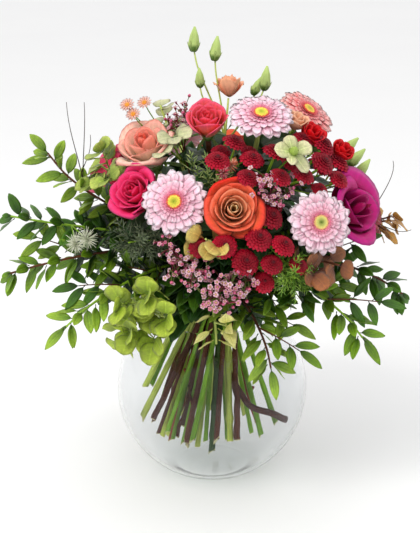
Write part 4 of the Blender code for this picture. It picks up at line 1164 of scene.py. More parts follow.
def stem(mould, route, tones, rng, sides=12, slot=1, knots=0):
    """A cut stem with a pale slanted end, and knots where leaves were stripped."""
    spaced = np.linspace(0.005, route.length, max(8, int(route.length / 0.006)))
    stations = np.concatenate([[0, 0.0012], spaced])
    points = np.array([route.place(s) for s in stations])
    radii = np.array([route.radius(s) for s in stations])
    for _ in range(knots):
        at = rng.uniform(0.01, min(0.16, route.length * 0.5))
        radii *= 1 + 0.30 * np.exp(-((stations - at) / 0.003) ** 2)
    radii *= 1 + 0.05 * np.sin(stations * 260 + rng.uniform(0, 6))
    if tones in (WOODY_STEM, RED_STEM):
        sway = np.sin(stations * 95 + rng.uniform(0, 6)) + 0.6 * np.sin(stations * 210 + rng.uniform(0, 6))
        fade = np.clip(1 - stations / 0.15, 0, 1) * np.clip(stations / 0.01, 0, 1)
        points = points + (0.0011 * sway * fade)[:, None] * unit(rng.normal(size=3) * [1, 1, 0.2])
    low, high = lit(tones)
    share = np.linspace(0, 1, len(stations))[:, None]
    paint = low * (1 - share) + high * share
    paint = paint * (1 + 0.16 * np.sin(stations * 70 + rng.uniform(0, 6)))[:, None] * rng.uniform(0.8, 1.2)
    paint[0] = linear(214, 206, 158)
    mould.tube(points, radii, np.clip(paint, 0, 1), sides, slot, rng.uniform(0, 50), rng.uniform(-1.6, 1.6))
    if tones in (WOODY_STEM, RED_STEM, DARK_STEM) and len(points) > 24:
        for _ in range(2):
            near = rng.integers(6, 18)
            out = unit(unit(points[near + 1] - points[near]) * 0.9 + rng.normal(0, 0.6, 3))
            stub = points[near] + out * np.array([0, 0.5, 1.0])[:, None] * rng.uniform(0.008, 0.015)
            mould.tube(stub, radii[near] * np.array([0.6, 0.5, 0.45]), paint[near] * 0.9, 7, slot)


class Heads:
    """Where the heads are, so that leaves keep out of them."""

    def __init__(self, crowd, places):
        bodies = list(places.values())
        self.centres = np.array([bodies[b] + o for b, o in zip(crowd.ball_body, crowd.ball_offset)])
        self.radii = np.array(crowd.ball_radius)

    def take(self, centre, radius):
        self.centres = np.vstack([self.centres, centre])
        self.radii = np.append(self.radii, radius)

    def clear(self, points, gap=0.001):
        away = np.linalg.norm(np.asarray(points)[:, None] - self.centres[None], axis=2)
        return bool((away > self.radii + gap).all())


# How far paired leaves lean out from their twig
LEAF_FAN = 0.95
# How far inside the bouquet's box, along x, y and z, the tips of added leaves stay
REACH_SPARE = np.array([0.007, 0.0, 0.0])


def in_reach(tip):
    """Whether a leaf's tip stays about within the bouquet's own box."""
    low, high = CAD_BOX[0] + REACH_SPARE, CAD_BOX[1] - REACH_SPARE
    return bool((tip >= low).all() and (tip <= high).all())


def two_ranked(mould, route, low, high, step, length, width, tones, rng, normal):
    """Pairs of leaves that lie to either side of a twig, facing about one way."""
    tones = lit(tones)
    count = max(2, int((high - low) / step))
    for k in range(count):
        s = low + (high - low) * (k + 0.6) / count
        ahead = route.frame(s)[0]
        face = unit(normal - ahead * (normal @ ahead) + rng.normal(0, 0.16, 3))
        side = unit(np.cross(face, ahead))
        for hand in (1, -1):
            lean = LEAF_FAN + rng.uniform(-0.15, 0.15)
            along = unit(ahead * math.cos(lean) + side * hand * math.sin(lean) + rng.normal(0, 0.10, 3))
            size = length * rng.uniform(0.82, 1.08)
            base = route.place(s + hand * step * 0.12)
            if not in_reach(base + along * size):
                continue
            leaf(mould, base, along, face + rng.normal(0, 0.22, 3), size, width * rng.uniform(0.88, 1.12),
                 "oval", tones, rng, droop=0.10)


def foliage(mould, route, low, high, count, length, width, shape, tones, rng, heads, lean, slot, droop):
    """Leaves round a stem between two lengths, each where it keeps clear of the heads."""
    tones = lit(tones)
    for k in range(count):
        s = low + (high - low) * (k + rng.uniform(0.2, 0.8)) / count
        ahead, side, _ = route.frame(s)
        for attempt in range(6):
            outward = turned_about(side, ahead, k * GOLDEN_TURN + attempt * 1.05)
            along = unit(ahead * math.cos(lean) + outward * math.sin(lean))
            size = length * rng.uniform(0.75, 1.1)
            base = route.place(s)
            if not heads.clear([base + along * size * share for share in (0.45, 0.75, 1.0)]):
                continue
            if (base + along * size)[2] < RIM_HEIGHT + 0.012:
                continue
            leaf(mould, base, along, np.cross(along, np.cross(ahead, outward)), size,
                 width * rng.uniform(0.85, 1.15), shape, tones, rng, droop=droop, slot=slot)
            break


# --- Materials -----------------------------------------------------------------------------------


class Nodes:
    """A node tree in the making."""

    def __init__(self, tree):
        self.tree = tree

    def node(self, kind, **settings):
        made = self.tree.nodes.new(kind)
        for key, value in settings.items():
            setattr(made, key, value)
        return made

    def join(self, out, into):
        self.tree.links.new(out, into)

    def noise(self, scale, detail, vector=None):
        """Noise in the object's own place, or in another vector."""
        made = self.node("ShaderNodeTexNoise")
        for key, number in (("Scale", scale), ("Detail", detail), ("Roughness", 0.55)):
            made.inputs[key].default_value = number
        if vector is None:
            vector = self.node("ShaderNodeTexCoord").outputs["Object"]
        self.join(vector, made.inputs["Vector"])
        return made.outputs["Fac"]

    def spread(self, value, low, high, start=0.3, stop=0.7):
        made = self.node("ShaderNodeMapRange")
        for key, number in (("From Min", start), ("From Max", stop), ("To Min", low), ("To Max", high)):
            made.inputs[key].default_value = number
        self.join(value, made.inputs["Value"])
        return made.outputs["Result"]

    def sum(self, a, b, operation="ADD"):
        made = self.node("ShaderNodeMath", operation=operation)
        for k, value in enumerate((a, b)):
            if isinstance(value, (int, float)):
                made.inputs[k].default_value = value
            else:
                self.join(value, made.inputs[k])
        return made.outputs["Value"]

    def product(self, a, b):
        return self.sum(a, b, "MULTIPLY")

    def between(self, share, low, high):
        """A colour from low to high."""
        made = self.node("ShaderNodeMix", data_type="RGBA")
        made.inputs["A"].default_value = (*low, 1)
        made.inputs["B"].default_value = (*high, 1)
        self.join(share, made.inputs["Factor"])
        return made.outputs["Result"]


class Surface(Nodes):
    """A node material in the making."""

    def __init__(self, name):
        self.made = bpy.data.materials.new(name)
        self.made.use_nodes = True
        super().__init__(self.made.node_tree)
        self.shader = self.tree.nodes["Principled BSDF"]

    def preset(self, **values):
        for key, value in values.items():
            self.shader.inputs[key.replace("_", " ")].default_value = value

    def flow(self):
        """Across, along and seed of the shape that a point belongs to."""
        source = self.node("ShaderNodeAttribute", attribute_name="flow")
        parts = self.node("ShaderNodeSeparateXYZ")
        self.join(source.outputs["Vector"], parts.inputs["Vector"])
        return parts.outputs["X"], parts.outputs["Y"], parts.outputs["Z"]

    def streaks(self, across, along, scale, detail):
        """Noise that runs lengthwise, different from one shape to the next."""
        x, y, seed = self.flow()
        made = self.node("ShaderNodeCombineXYZ")
        for k, value in enumerate((self.product(x, across), self.product(y, along), seed)):
            self.join(value, made.inputs[k])
        return self.noise(scale, detail, made.outputs["Vector"])

    def painted(self, tone):
        """The shape's own paint, made lighter or darker by a tone."""
        made = self.node("ShaderNodeVectorMath", operation="SCALE")
        self.join(self.node("ShaderNodeAttribute", attribute_name="paint").outputs["Color"], made.inputs[0])
        self.join(tone, made.inputs["Scale"])
        return made.outputs["Vector"]

    def finish(self, colour, roughness, height, strength, distance):
        self.join(colour, self.shader.inputs["Base Color"])
        self.join(roughness, self.shader.inputs["Roughness"])
        bump = self.node("ShaderNodeBump")
        bump.inputs["Strength"].default_value = strength
        bump.inputs["Distance"].default_value = distance
        self.join(height, bump.inputs["Height"])
        self.join(bump.outputs["Normal"], self.shader.inputs["Normal"])
        return self.made


def petal_surface(name, rough=(0.45, 0.65), streak=0.22, across=7.0, glow=0.10, sheen=0.15):
    """Petal: soft mottling, streaks that run from foot to tip, and ribs in the same lines."""
    s = Surface(name)
    lines = s.streaks(across, 0.9, 1.0, 3.0)
    mottle = s.noise(700.0, 4.0)
    tone = s.product(s.spread(lines, 1 - streak, 1 + streak * 0.5), s.spread(mottle, 0.94, 1.05))
    tone = s.product(tone, s.spread(s.noise(60.0, 2.0), 0.93, 1.05))
    s.preset(Subsurface_Weight=glow, Subsurface_Radius=(1.0, 0.45, 0.35), Subsurface_Scale=0.003,
             Sheen_Weight=sheen, Specular_IOR_Level=0.35)
    height = s.sum(lines, s.product(mottle, 0.35))
    return s.finish(s.painted(tone), s.spread(mottle, *rough), height, 0.5, 0.0005)


def leaf_surface(name, rough=(0.34, 0.52), rib=0.45, veins=26.0, matt=0.0):
    """Leaf: a pale midrib, side veins that leave it at a slant, and fine mottling."""
    s = Surface(name)
    x, y, _ = s.flow()
    out = s.sum(x, 0.0, "ABSOLUTE")
    slant = s.sum(s.product(y, veins), s.product(out, 5.0), "SUBTRACT")
    vein = s.spread(s.sum(slant, 0.0, "SINE"), 0.0, 1.0, 0.80, 1.0)
    midrib = s.spread(out, 1.0, 0.0, 0.02, 0.11)
    mottle = s.noise(420.0, 4.0)
    tone = s.product(s.spread(mottle, 0.82, 1.14), s.spread(s.noise(45.0, 2.0), 0.84, 1.16))
    tone = s.product(tone, s.spread(vein, 1.0, 1.12, 0.0, 1.0))
    tone = s.product(tone, s.spread(midrib, 1.0, 1.0 + rib, 0.0, 1.0))
    s.preset(Subsurface_Weight=0.05, Subsurface_Radius=(0.5, 1.0, 0.2), Subsurface_Scale=0.002,
             Sheen_Weight=matt)
    height = s.sum(s.product(mottle, 0.5), s.sum(s.product(vein, 0.5), midrib), "SUBTRACT")
    return s.finish(s.painted(tone), s.spread(mottle, *rough), height, 0.45, 0.0006)


def stem_surface(name, rough=(0.45, 0.7), depth=0.0006, streak=0.28):
    """Stem: long streaks and faint ribs along it, with small pale marks."""
    s = Surface(name)
    lines = s.streaks(5.0, 9.0, 1.3, 4.0)
    specks = s.noise(900.0, 3.0)
    tone = s.product(s.spread(lines, 1 - streak, 1 + streak), s.spread(specks, 0.86, 1.10))
    height = s.sum(lines, s.product(specks, 0.4))
    return s.finish(s.painted(tone), s.spread(specks, *rough), height, 0.6, depth)


def twine_surface():
    """Jute twine: hairy fibres along its twisted strands."""
    s = Surface("jute_twine")
    fibres = s.streaks(14.0, 60.0, 1.0, 4.0)
    fluff = s.noise(1500.0, 4.0)
    tone = s.product(s.spread(fibres, 0.62, 1.2), s.spread(fluff, 0.8, 1.15))
    return s.finish(s.painted(tone), s.spread(fluff, 0.8, 0.95), s.sum(fibres, fluff), 0.8, 0.0005)


def glass_surface():
    """Clear blown glass, tinted grey beyond its own faint tint as painted shade of the bowl: barely uneven,
    and open to light that passes on to other things.
    """
    s = Surface("blown_glass")
    film = s.noise(90.0, 3.0)
    s.preset(Transmission_Weight=1.0, IOR=1.27)
    # The grey of the glass, 0.89 to 0.94, is more than its own faint tint: painted shade that greys the bowl.
    tint = s.between(film, (0.890, 0.902, 0.908), (0.925, 0.934, 0.938))
    s.finish(tint, s.spread(film, 0.0, 0.02), s.noise(14.0, 2.0), 0.06, 0.002)
    path = s.node("ShaderNodeLightPath")
    clear = s.node("ShaderNodeBsdfTransparent")
    clear.inputs["Color"].default_value = (0.95, 0.96, 0.96, 1)
    mix = s.node("ShaderNodeMixShader")
    either = s.sum(path.outputs["Is Shadow Ray"], path.outputs["Is Diffuse Ray"], "MAXIMUM")
    for out, into in zip((either, s.shader.outputs["BSDF"], clear.outputs["BSDF"]), mix.inputs):
        s.join(out, into)
    s.join(mix.outputs["Shader"], s.tree.nodes["Material Output"].inputs["Surface"])
    return s.made


def floor_surface():
    """Pale matt paper with the faintest grain."""
    s = Surface("pale_paper")
    grain = s.noise(400.0, 3.0)
    tint = s.between(s.noise(2.0, 2.0), (0.90, 0.90, 0.905), (0.93, 0.93, 0.93))
    return s.finish(tint, s.spread(grain, 0.75, 0.9), grain, 0.05, 0.0005)


# --- Stage ---------------------------------------------------------------------------------------

CAMERA_ELEVATION = math.radians(18)
CAMERA_DISTANCE = 1.25
CAMERA_LENS = 82.07
AIM = Vector((-0.0021, 0, 0.2242))
FLOOR_HALF = 14.0
# Just below the vase's foot, so that the two faces don't lie in one plane
FLOOR_DROP = 0.0005
LIGHTS = (
    # name, place, size, power, colour
    ("key", (-0.9, -1.2, 2.0), 0.9, 26, (1.0, 0.985, 0.96)),
    ("fill", (1.6, -0.9, 1.0), 1.4, 4, (0.97, 0.985, 1.0)),
)
# The sky's brightness, and its share behind the camera and far to the sides
SKY = 1.22
SKY_DIM = 0.55


def placed(name, data):
    made = bpy.data.objects.new(name, data)
    bpy.context.scene.collection.objects.link(made)
    return made


def stage():
    """The floor, the soft light and the camera."""
    scene = bpy.context.scene
    mesh = bpy.data.meshes.new("floor")
    corners = [(x * FLOOR_HALF, y * FLOOR_HALF, 0) for x, y in ((-1, -1), (1, -1), (1, 1), (-1, 1))]
    mesh.from_pydata(corners, [], [(0, 1, 2, 3)])
    mesh.materials.append(floor_surface())
    floor = placed("floor", mesh)
    floor.location.z = -FLOOR_DROP
    camera = placed("camera", bpy.data.cameras.new("camera"))
    camera.data.lens = CAMERA_LENS
    back = Vector((0, -math.cos(CAMERA_ELEVATION), math.sin(CAMERA_ELEVATION)))
    camera.location = AIM + back * CAMERA_DISTANCE
    camera.rotation_euler = (math.pi / 2 - CAMERA_ELEVATION, 0, 0)
    scene.camera = camera
    for name, place, size, power, colour in LIGHTS:
        lamp = bpy.data.lights.new(name, "AREA")
        lamp.size, lamp.energy, lamp.color = size, power, colour
        made = placed(name, lamp)
        made.location = place
        made.rotation_euler = (AIM - made.location).to_track_quat("-Z", "Y").to_euler()
        made.visible_glossy = made.visible_transmission = False
    world = bpy.data.worlds.new("studio")
    world.use_nodes = True
    sky = Nodes(world.node_tree)
    split = sky.node("ShaderNodeSeparateXYZ")
    sky.join(sky.node("ShaderNodeTexCoord").outputs["Generated"], split.inputs["Vector"])
    front = sky.spread(split.outputs["Y"], SKY_DIM, 1.0, -1.0, 0.2)
    wings = sky.spread(sky.sum(split.outputs["X"], 0.0, "ABSOLUTE"), 1.0, SKY_DIM, 0.45, 0.85)
    shell = sky.tree.nodes["Background"]
    sky.join(sky.product(front, wings), shell.inputs["Color"])
    shell.inputs["Strength"].default_value = SKY
    scene.world = world
    scene.view_settings.view_transform = "Standard"
    scene.view_settings.look = "None"


# --- The bouquet ---------------------------------------------------------------------------------


GLASS_SIDES = 144
TWINE_TURNS = 5
TWINE_STEPS = 120
STRAND_SIDES = 12


def vase_piece(looks):
    """The bowl as one turned wall, with a rounded lip and a flat foot."""
    inner = BOWL_RADIUS - WALL
    floor = math.asin((FLOOR_WALL - BOWL_CENTRE) / inner)
    rim = math.acos(MOUTH_RADIUS / BOWL_RADIUS)
    inside = arc(inner, BOWL_CENTRE, floor + 0.07, rim, 40)
    outside = arc(BOWL_RADIUS, BOWL_CENTRE, rim, -math.acos(BASE_RADIUS / BOWL_RADIUS), 44)
    middle = BOWL_RADIUS - WALL / 2
    lip = [(middle * math.cos(rim) + WALL / 2 * math.cos(rim + turn),
            BOWL_CENTRE + middle * math.sin(rim) + WALL / 2 * math.sin(rim + turn))
           for turn in np.radians([155, 130, 105, 80, 55, 25])]
    corner = inner * math.cos(floor)
    floor_line = [(corner * share, FLOOR_WALL + lift) for share, lift
                  in ((0.35, 0.0), (0.7, 0.0001), (0.86, 0.0004), (0.94, 0.0010), (0.99, 0.0017))]
    foot_line = [(BASE_RADIUS * share, 0.0) for share in (0.97, 0.75, 0.4)]
    profile = floor_line + inside + lip + outside + foot_line
    turns = np.arange(GLASS_SIDES) * 2 * math.pi / GLASS_SIDES
    around = np.column_stack([np.cos(turns), -np.sin(turns), np.zeros(GLASS_SIDES)])
    mould = Mould()
    mould.rings([around * r + np.array([0, 0, z]) for r, z in profile], (1, 1, 1))
    mould.piece("glass_bowl", looks, ["glass"], "glass_vase", "clear_glass")


def tie_piece(looks):
    """Turns of twisted twine round the stems, each a closed ring."""
    low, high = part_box("twine_tie")
    thick = (high[2] - low[2]) / TWINE_TURNS / 2
    reach = (high[0] - low[0]) / 2 - thick
    tone = linear(150, 116, 70)
    mould = Mould()
    for turn in range(TWINE_TURNS):
        level = low[2] + thick * (1 + 2 * turn)
        rings = []
        for k in range(TWINE_STEPS + 1):
            a = 2 * math.pi * k / TWINE_STEPS
            out = np.array([math.cos(a), math.sin(a), 0])
            around = np.arange(STRAND_SIDES) * 2 * math.pi / STRAND_SIDES
            strand = thick * (0.80 + 0.20 * np.abs(np.cos(1.5 * around + a * 26)))
            middle = out * reach + np.array([0, 0, level + thick * 0.3 * math.sin(a + turn)])
            rings.append(middle + strand[:, None] * circle(STRAND_SIDES, out, UP))
        mould.rings(rings, tone * (0.9 + 0.05 * turn), 0, turn * 3.1)
    mould.piece("twine_wraps", looks, ["twine"], "twine_tie", "twine")


def shoot(mould, root, ahead, length, size, width, tones, rng, heads, normal, lowest):
    """A thin leafy side shoot that leaves its stem and droops a little."""
    ahead = unit(ahead)
    span = np.linspace(0, 1, 7)[:, None]
    line = root + ahead * length * span - np.array([0, 0, 0.10]) * length * span**2
    low = line[-1][2] - size * 0.6
    over_bowl = np.hypot(*line[-1][:2]) < BOWL_RADIUS + 0.012 and low < RIM_HEIGHT + 0.002
    outside = not in_reach(line[-1] + ahead * size * 0.6)
    if over_bowl or outside or low < lowest or not heads.clear(line[3:], 0.0):
        return
    route = Route(line, np.linspace(0.0009, 0.0005, 7))
    mould.tube(route.line, np.linspace(0.0009, 0.0005, len(route.line)), linear(*WOODY_STEM[1]), 5, 1)
    two_ranked(mould, route, length * 0.25, length, 0.013, size, width, tones, rng, normal)
    tip_leaf(mould, route, size, width, tones, rng, normal)


def tip_leaf(mould, route, size, width, tones, rng, normal):
    """The leaf at a twig's end, as long as the bouquet's box leaves room for."""
    ahead, end = route.frame(route.length)[0], route.place(route.length)
    room = next((share for share in (1.0, 0.8, 0.6, 0.45) if in_reach(end + ahead * size * share)), 0.3)
    leaf(mould, end, ahead, normal - ahead * (normal @ ahead), size * room, width * min(1, room + 0.2),
         "oval", lit(tones), rng)


def outlook(place):
    """The way that leaves about a place mostly face: up, and to the nearer of front and back."""
    turned = -1.0 if place[1] < 0.04 else 1.0
    return unit(np.array([0.25 * np.sign(place[0]), 0.85 * turned, 0.60]))


# Each pair is a leaf's low and high tone: the lows at the leaves' feet and midribs are deepened past their
# own green as painted shade, the highs are the leaves' own green.
RUSCUS_TONES = (((22, 58, 6), (128, 168, 30)), ((46, 86, 8), (164, 196, 62)), ((12, 42, 6), (78, 126, 22)))
# Near-black green of the inner ruscus leaves: painted shade.
PAINTED_SHADE_GREEN = ((6, 26, 6), (34, 72, 16))
WHITE_TONES = ((196, 204, 170), (236, 236, 216))
# Where fluffy heads and bare twigs among the leaves end
WHITE_BRUSHES = ((-0.129, -0.090, 0.276), (-0.118, -0.094, 0.282))
LEFT_TWIGS = ((-0.118, -0.03, 0.368), (-0.140, -0.03, 0.400), (-0.124, -0.02, 0.398))
RIGHT_TWIGS = ((0.160, -0.02, 0.306), (0.178, -0.02, 0.340), (0.186, -0.012, 0.284), (0.201, -0.012, 0.267))


def ruscus_piece(name, row, route, leaves, heads, looks, rng):
    """A ruscus branch: its own paired leaves, near-black leaves inside painted as the bouquet's shade, and
    thin leafy side shoots.
    """
    mould = Mould()
    tip, length, width, stretch = over_rim(row[1]), row[4], row[5], row[7]
    number = int(name[-1])
    tones = RUSCUS_TONES[number % 3]
    width *= 0.84
    stem(mould, route, WOODY_STEM if number % 2 else GREEN_STEM, rng)
    for base, along, normal, size in leaves:
        leaf(mould, base, along, normal + outlook(base), size * 1.05, width, "oval", lit(tones), rng)
    low = max(route.length - stretch - 0.02, route.length * 0.42)
    facing = outlook(tip)
    # Near-black leaves along the middle of the stem, painted as the shade inside the bouquet.
    foliage(mould, route, route.length * 0.46, route.length * 0.80, 30, length * 1.25, width * 1.5, "oval",
            PAINTED_SHADE_GREEN, rng, heads, 1.0, 0, 0.05)
    two_ranked(mould, route, low, route.length, 0.019, length, width, tones, rng, facing)
    tip_leaf(mould, route, length, width, tones, rng, facing)
    for k in range(8):
        s = low + (route.length - low) * (k + 0.5) / 8.5
        ahead = route.frame(s)[0]
        across = unit(np.cross(facing, ahead)) * (1 if k % 2 else -1)
        way = ahead * 0.8 + across * rng.uniform(0.45, 0.85) + facing * rng.uniform(-0.1, 0.35)
        shoot(mould, route.place(s), way, rng.uniform(0.034, 0.055), length, width * 0.95,
              RUSCUS_TONES[(number + k) % 3], rng, heads, facing, tip[2] - 0.002)
    if name == "ruscus_2":
        for end in WHITE_BRUSHES:
            brush(mould, route.place(route.length - 0.06), np.array(end), 0.011, WHITE_TONES, rng)
    if name == "ruscus_1":
        fine_twigs(mould, route.place(route.length - 0.05), LEFT_TWIGS, rng)
    mould.piece(f"{name}_spray", looks, ["ruscus", "wood"], name, "ruscus_green")


def fine_twigs(mould, root, ends, rng):
    """Bare hair-thin twigs that stand out of the leaves."""
    for end in ends:
        end = np.array(end)
        bend = unit(end - root) * np.linalg.norm(end - root)
        line = curve_between(root, end, bend + rng.normal(0, 0.012, 3), bend + rng.normal(0, 0.02, 3), 12)
        mould.tube(line, np.linspace(0.0006, 0.0003, 12), linear(58, 44, 34), 5, 1)


# Each eucalyptus branch's tones and leaf shape, and whether leaves fill it up to its tip
EUCALYPTUS_LOOKS = {
    "eucalyptus_1": (((112, 140, 12), (186, 204, 72)), "round", True),
    "eucalyptus_2": (((96, 124, 30), (182, 194, 92)), "round", True),
    "eucalyptus_3": (((150, 158, 112), (206, 200, 160)), "round", True),
    "eucalyptus_4": (((84, 40, 22), (160, 98, 54)), "round", False),
    "eucalyptus_5": (((150, 104, 30), (206, 190, 104)), "round", False),
    "eucalyptus_6": (((136, 84, 24), (200, 150, 64)), "oval", True),
    "eucalyptus_7": (((186, 186, 84), (232, 224, 150)), "lance", False),
}
# Where each eucalyptus branch's side shoots end
SIDE_SHOOTS = {
    "eucalyptus_1": ((-0.086, -0.108, 0.222), (-0.060, -0.122, 0.236), (-0.078, -0.112, 0.196),
                     (-0.044, -0.122, 0.214), (-0.056, -0.104, 0.186)),
    "eucalyptus_2": ((-0.106, -0.034, 0.352), (-0.116, -0.040, 0.322), (-0.100, -0.056, 0.330)),
    "eucalyptus_3": ((-0.036, -0.058, 0.372), (-0.048, -0.064, 0.360)),
    "eucalyptus_4": ((0.092, -0.122, 0.258),),
    "eucalyptus_5": ((0.004, -0.132, 0.288),),
    "eucalyptus_6": ((0.180, -0.016, 0.282), (0.172, -0.030, 0.272)),
    "eucalyptus_7": ((0.013, -0.118, 0.204),),
}


def side_shoot(mould, route, end, name, row, rng, heads, wood):
    """A side shoot of a eucalyptus branch, with leaves in pairs and one at its end."""
    length, width, spacing = row[4:7]
    tones, shape, _ = EUCALYPTUS_LOOKS[name]
    tints = lit(tones)
    near = int(np.argmin(np.linalg.norm(route.line - end, axis=1)))
    root = route.line[max(near - 4, 0)]
    outward = unit(end - HEART + [0, 0, 0.02])
    span = np.linalg.norm(end - root)
    way = unit(end - root + outward * span * 0.5)
    twig = Route(curve_between(root, end, way * span, unit(end - root) * span * 0.8, 6), np.full(6, 0.0008))
    mould.tube(twig.line, np.linspace(0.0011, 0.0007, len(twig.line)), linear(*wood[1]), 6, 1)
    count = max(3, int(span / spacing)) if name != "eucalyptus_7" else 1
    for j in range(count):
        s = twig.length * (1 - 0.8 * j / count)
        ahead = twig.frame(s)[0]
        for hand in (1, -1):
            out = unit(hand * unit(np.cross(ahead, outward)) + 0.35 * outward + rng.normal(0, 0.12, 3))
            along = unit(out + 0.35 * ahead)
            size = length * rng.uniform(0.8, 1.05)
            if heads.clear([twig.place(s) + along * size * 0.6], 0.002):
                leaf(mould, twig.place(s), along, outward + 0.3 * ahead, size, width * rng.uniform(0.9, 1.1),
                     shape, tints, rng, fold=0.06, stalk=0.16)
    leaf(mould, end, unit(end - root) + [0, 0, -0.2], outward, length * 0.8, width * 0.8, shape, tints, rng)


def eucalyptus_piece(name, row, route, leaves, heads, looks, rng):
    """A eucalyptus branch: its own leaves, and side shoots that end where the photograph shows them."""
    mould = Mould()
    length, width, spacing, stretch = row[4:]
    tones, shape, full = EUCALYPTUS_LOOKS[name]
    wood = WOODY_STEM if name in ("eucalyptus_4", "eucalyptus_6") else PALE_STEM
    stem(mould, route, wood, rng)
    for base, along, normal, size in leaves:
        leaf(mould, base, along, normal, size, width, shape, lit(tones), rng, fold=0.06, stalk=0.18)
    if full:
        foliage(mould, route, route.length - stretch * 0.9, route.length, int(stretch / spacing),
                length * 0.85, width * 0.85, shape, tones, rng, heads, 1.1, 0, 0.1)
    for end in SIDE_SHOOTS[name]:
        side_shoot(mould, route, np.array(end), name, row, rng, heads, wood)
    if name == "eucalyptus_6":
        bare_spur(mould, route)
        fine_twigs(mould, route.place(route.length - 0.03), RIGHT_TWIGS, rng)
    mould.piece(f"{name}_spray", looks, ["eucalyptus", "wood"], name, "eucalyptus_leaf")


def bare_spur(mould, route):
    """The crooked dark twig that lies across the other stems in the bowl."""
    root = route.line[np.argmin(np.linalg.norm(route.line - (0.028, -0.040, 0.110), axis=1))]
    spur = curve_between(root, np.array((0.078, -0.034, 0.069)), np.array((0.010, -0.010, -0.060)),
                         np.array((0.050, 0.016, -0.014)), 14)
    spur += 0.0012 * np.sin(np.linspace(0, 11, 14))[:, None] * np.array([1, 0, 1])
    mould.tube(spur, np.linspace(0.0030, 0.0038, 14), linear(66, 26, 14), 9, 1)


NEEDLES = 20
NEEDLE_WIDTH = 0.0011


def needles(mould, base, along, length, tones, rng, slot):
    """A feathery frond of fine needles about its own rib."""
    along = unit(along)
    side = unit(np.cross(along, [0.2, 0.3, 0.93]))
    low, high = lit(tones)
    mould.tube(np.array([base, base + along * length * 0.5, base + along * length]), [0.0005, 0.0004, 0.0003],
               low, 5, 1)
    for k in range(NEEDLES):
        share = 0.12 + 0.86 * k / NEEDLES
        out = turned_about(side, along, k * GOLDEN_TURN)
        way = unit(along * 0.75 + out)
        size = length * 0.42 * (1.1 - 0.7 * share) * rng.uniform(0.8, 1.2)
        grid_along = np.linspace(0, 1, 4)[:, None, None]
        across = unit(np.cross(way, out + 0.01)) * NEEDLE_WIDTH * 0.5
        v = np.linspace(-1, 1, 3)[None, :, None]
        half = np.array([0.6, 1.0, 0.9, 0.15])[:, None, None]
        middle = base + along * length * share + way * size * grid_along + across * v * half
        paint = (low + (high - low) * rng.uniform(0.2, 1.0)) * np.ones(middle.shape)
        mould.sheet(middle, 0.0004, paint, slot, rng.uniform(0, 50))


FERN_TONES = {"fern_1": ((74, 122, 30), (150, 186, 66)), "fern_2": ((44, 62, 36), (124, 136, 104))}
FRONDS = 26


def fern_piece(name, row, route, leaves, heads, looks, rng):
    """A feathery branch: fronds of needles in place of its leaves, and more round its stem."""
    mould = Mould()
    tones = FERN_TONES[name]
    stretch = row[7]
    stem(mould, route, GREEN_STEM, rng)
    for base, along, _, size in leaves:
        needles(mould, base, along, size * 1.7, tones, rng, 0)
    for k in range(FRONDS):
        s = route.length - stretch * 1.1 * (k + 0.5) / FRONDS
        ahead, side, _ = route.frame(s)
        out = turned_about(side, ahead, k * GOLDEN_TURN)
        needles(mould, route.place(s), ahead * 0.8 + out, rng.uniform(0.020, 0.030), tones, rng, 0)
    mould.piece(f"{name}_plume", looks, ["fern", "stem"], name, "fern_green")


# Leaves round a stem under its head: from and to, as lengths below its top; count, leaf length and
# width, shape, tones, lean, material slot, droop
HEAD_LEAVES = {
    # The rose, gerbera and santini leaves are near-black greens: dark leaves painted darker still as shade
    # under the heads.
    "rose": (0.15, 0.018, 38, 0.040, 0.025, "oval", ((10, 32, 10), (40, 80, 28)), 1.0, 1, 0.25),
    "gerbera": (0.15, 0.026, 34, 0.044, 0.022, "lance", ((14, 40, 12), (50, 94, 32)), 0.9, 1, 0.2),
    "santini": (0.12, 0.02, 30, 0.032, 0.018, "oval", ((12, 38, 10), (48, 90, 28)), 1.1, 2, 0.2),
    "lisianthus": (0.10, 0.03, 5, 0.026, 0.010, "lance", ((60, 96, 40), (122, 150, 80)), 0.6, 2, 0.1),
}


def head_leaves(mould, kind, route, rng, heads):
    start, stop, count, length, width, shape, tones, lean, slot, droop = HEAD_LEAVES[kind]
    foliage(mould, route, route.length - start, route.length - stop, count, length, width, shape, tones, rng,
            heads, lean, slot, droop)


def bloom_pieces(name, row, place, route, heads, looks, rng):
    """A gerbera or rose, as its flower and its stalk."""
    kind, _, bearing, elevation, radius = row
    facing = direction(bearing, elevation)
    order = int(name[-1])
    mould, stalk = Mould(), Mould()
    if kind == "gerbera":
        colours = {"gerbera_4": CORAL, "gerbera_2": GREEN_HEART}.get(name, PINK)
        gerbera(mould, place, facing, radius, colours, rng)
        slot = "gerbera_coral" if name == "gerbera_4" else "gerbera_pink"
        wanted = ["gerbera", "disc", "calyx"]
        tones, knots = (GREEN_STEM, PALE_STEM)[order % 2], 0
    else:
        rose(mould, place, facing, radius, ROSE_STYLES[name], rng)
        slot, wanted = ROSE_STYLES[name][0], ["rose", "calyx"]
        tones, knots = (GREEN_STEM, DARK_STEM, PALE_STEM, RED_STEM, WOODY_STEM)[(order + 1) % 5], 2
    mould.piece(f"{name}_flower", looks, wanted, f"{name}_bloom", slot)
    stem(stalk, route, tones, rng, slot=0, knots=knots)
    head_leaves(stalk, kind, route, rng, heads)
    skirt(stalk, route, rng, 1)
    stalk.piece(f"{name}_stalk", looks, ["stem", "dark_leaf"], f"{name}_stem", "flower_stem")


# The first, near-black pair, used for most skirt leaves, is painted shade under the bouquet; the second is
# the leaves' own green.
SKIRT_TONES = (((8, 30, 8), (44, 84, 22)), ((26, 64, 10), (92, 138, 34)))


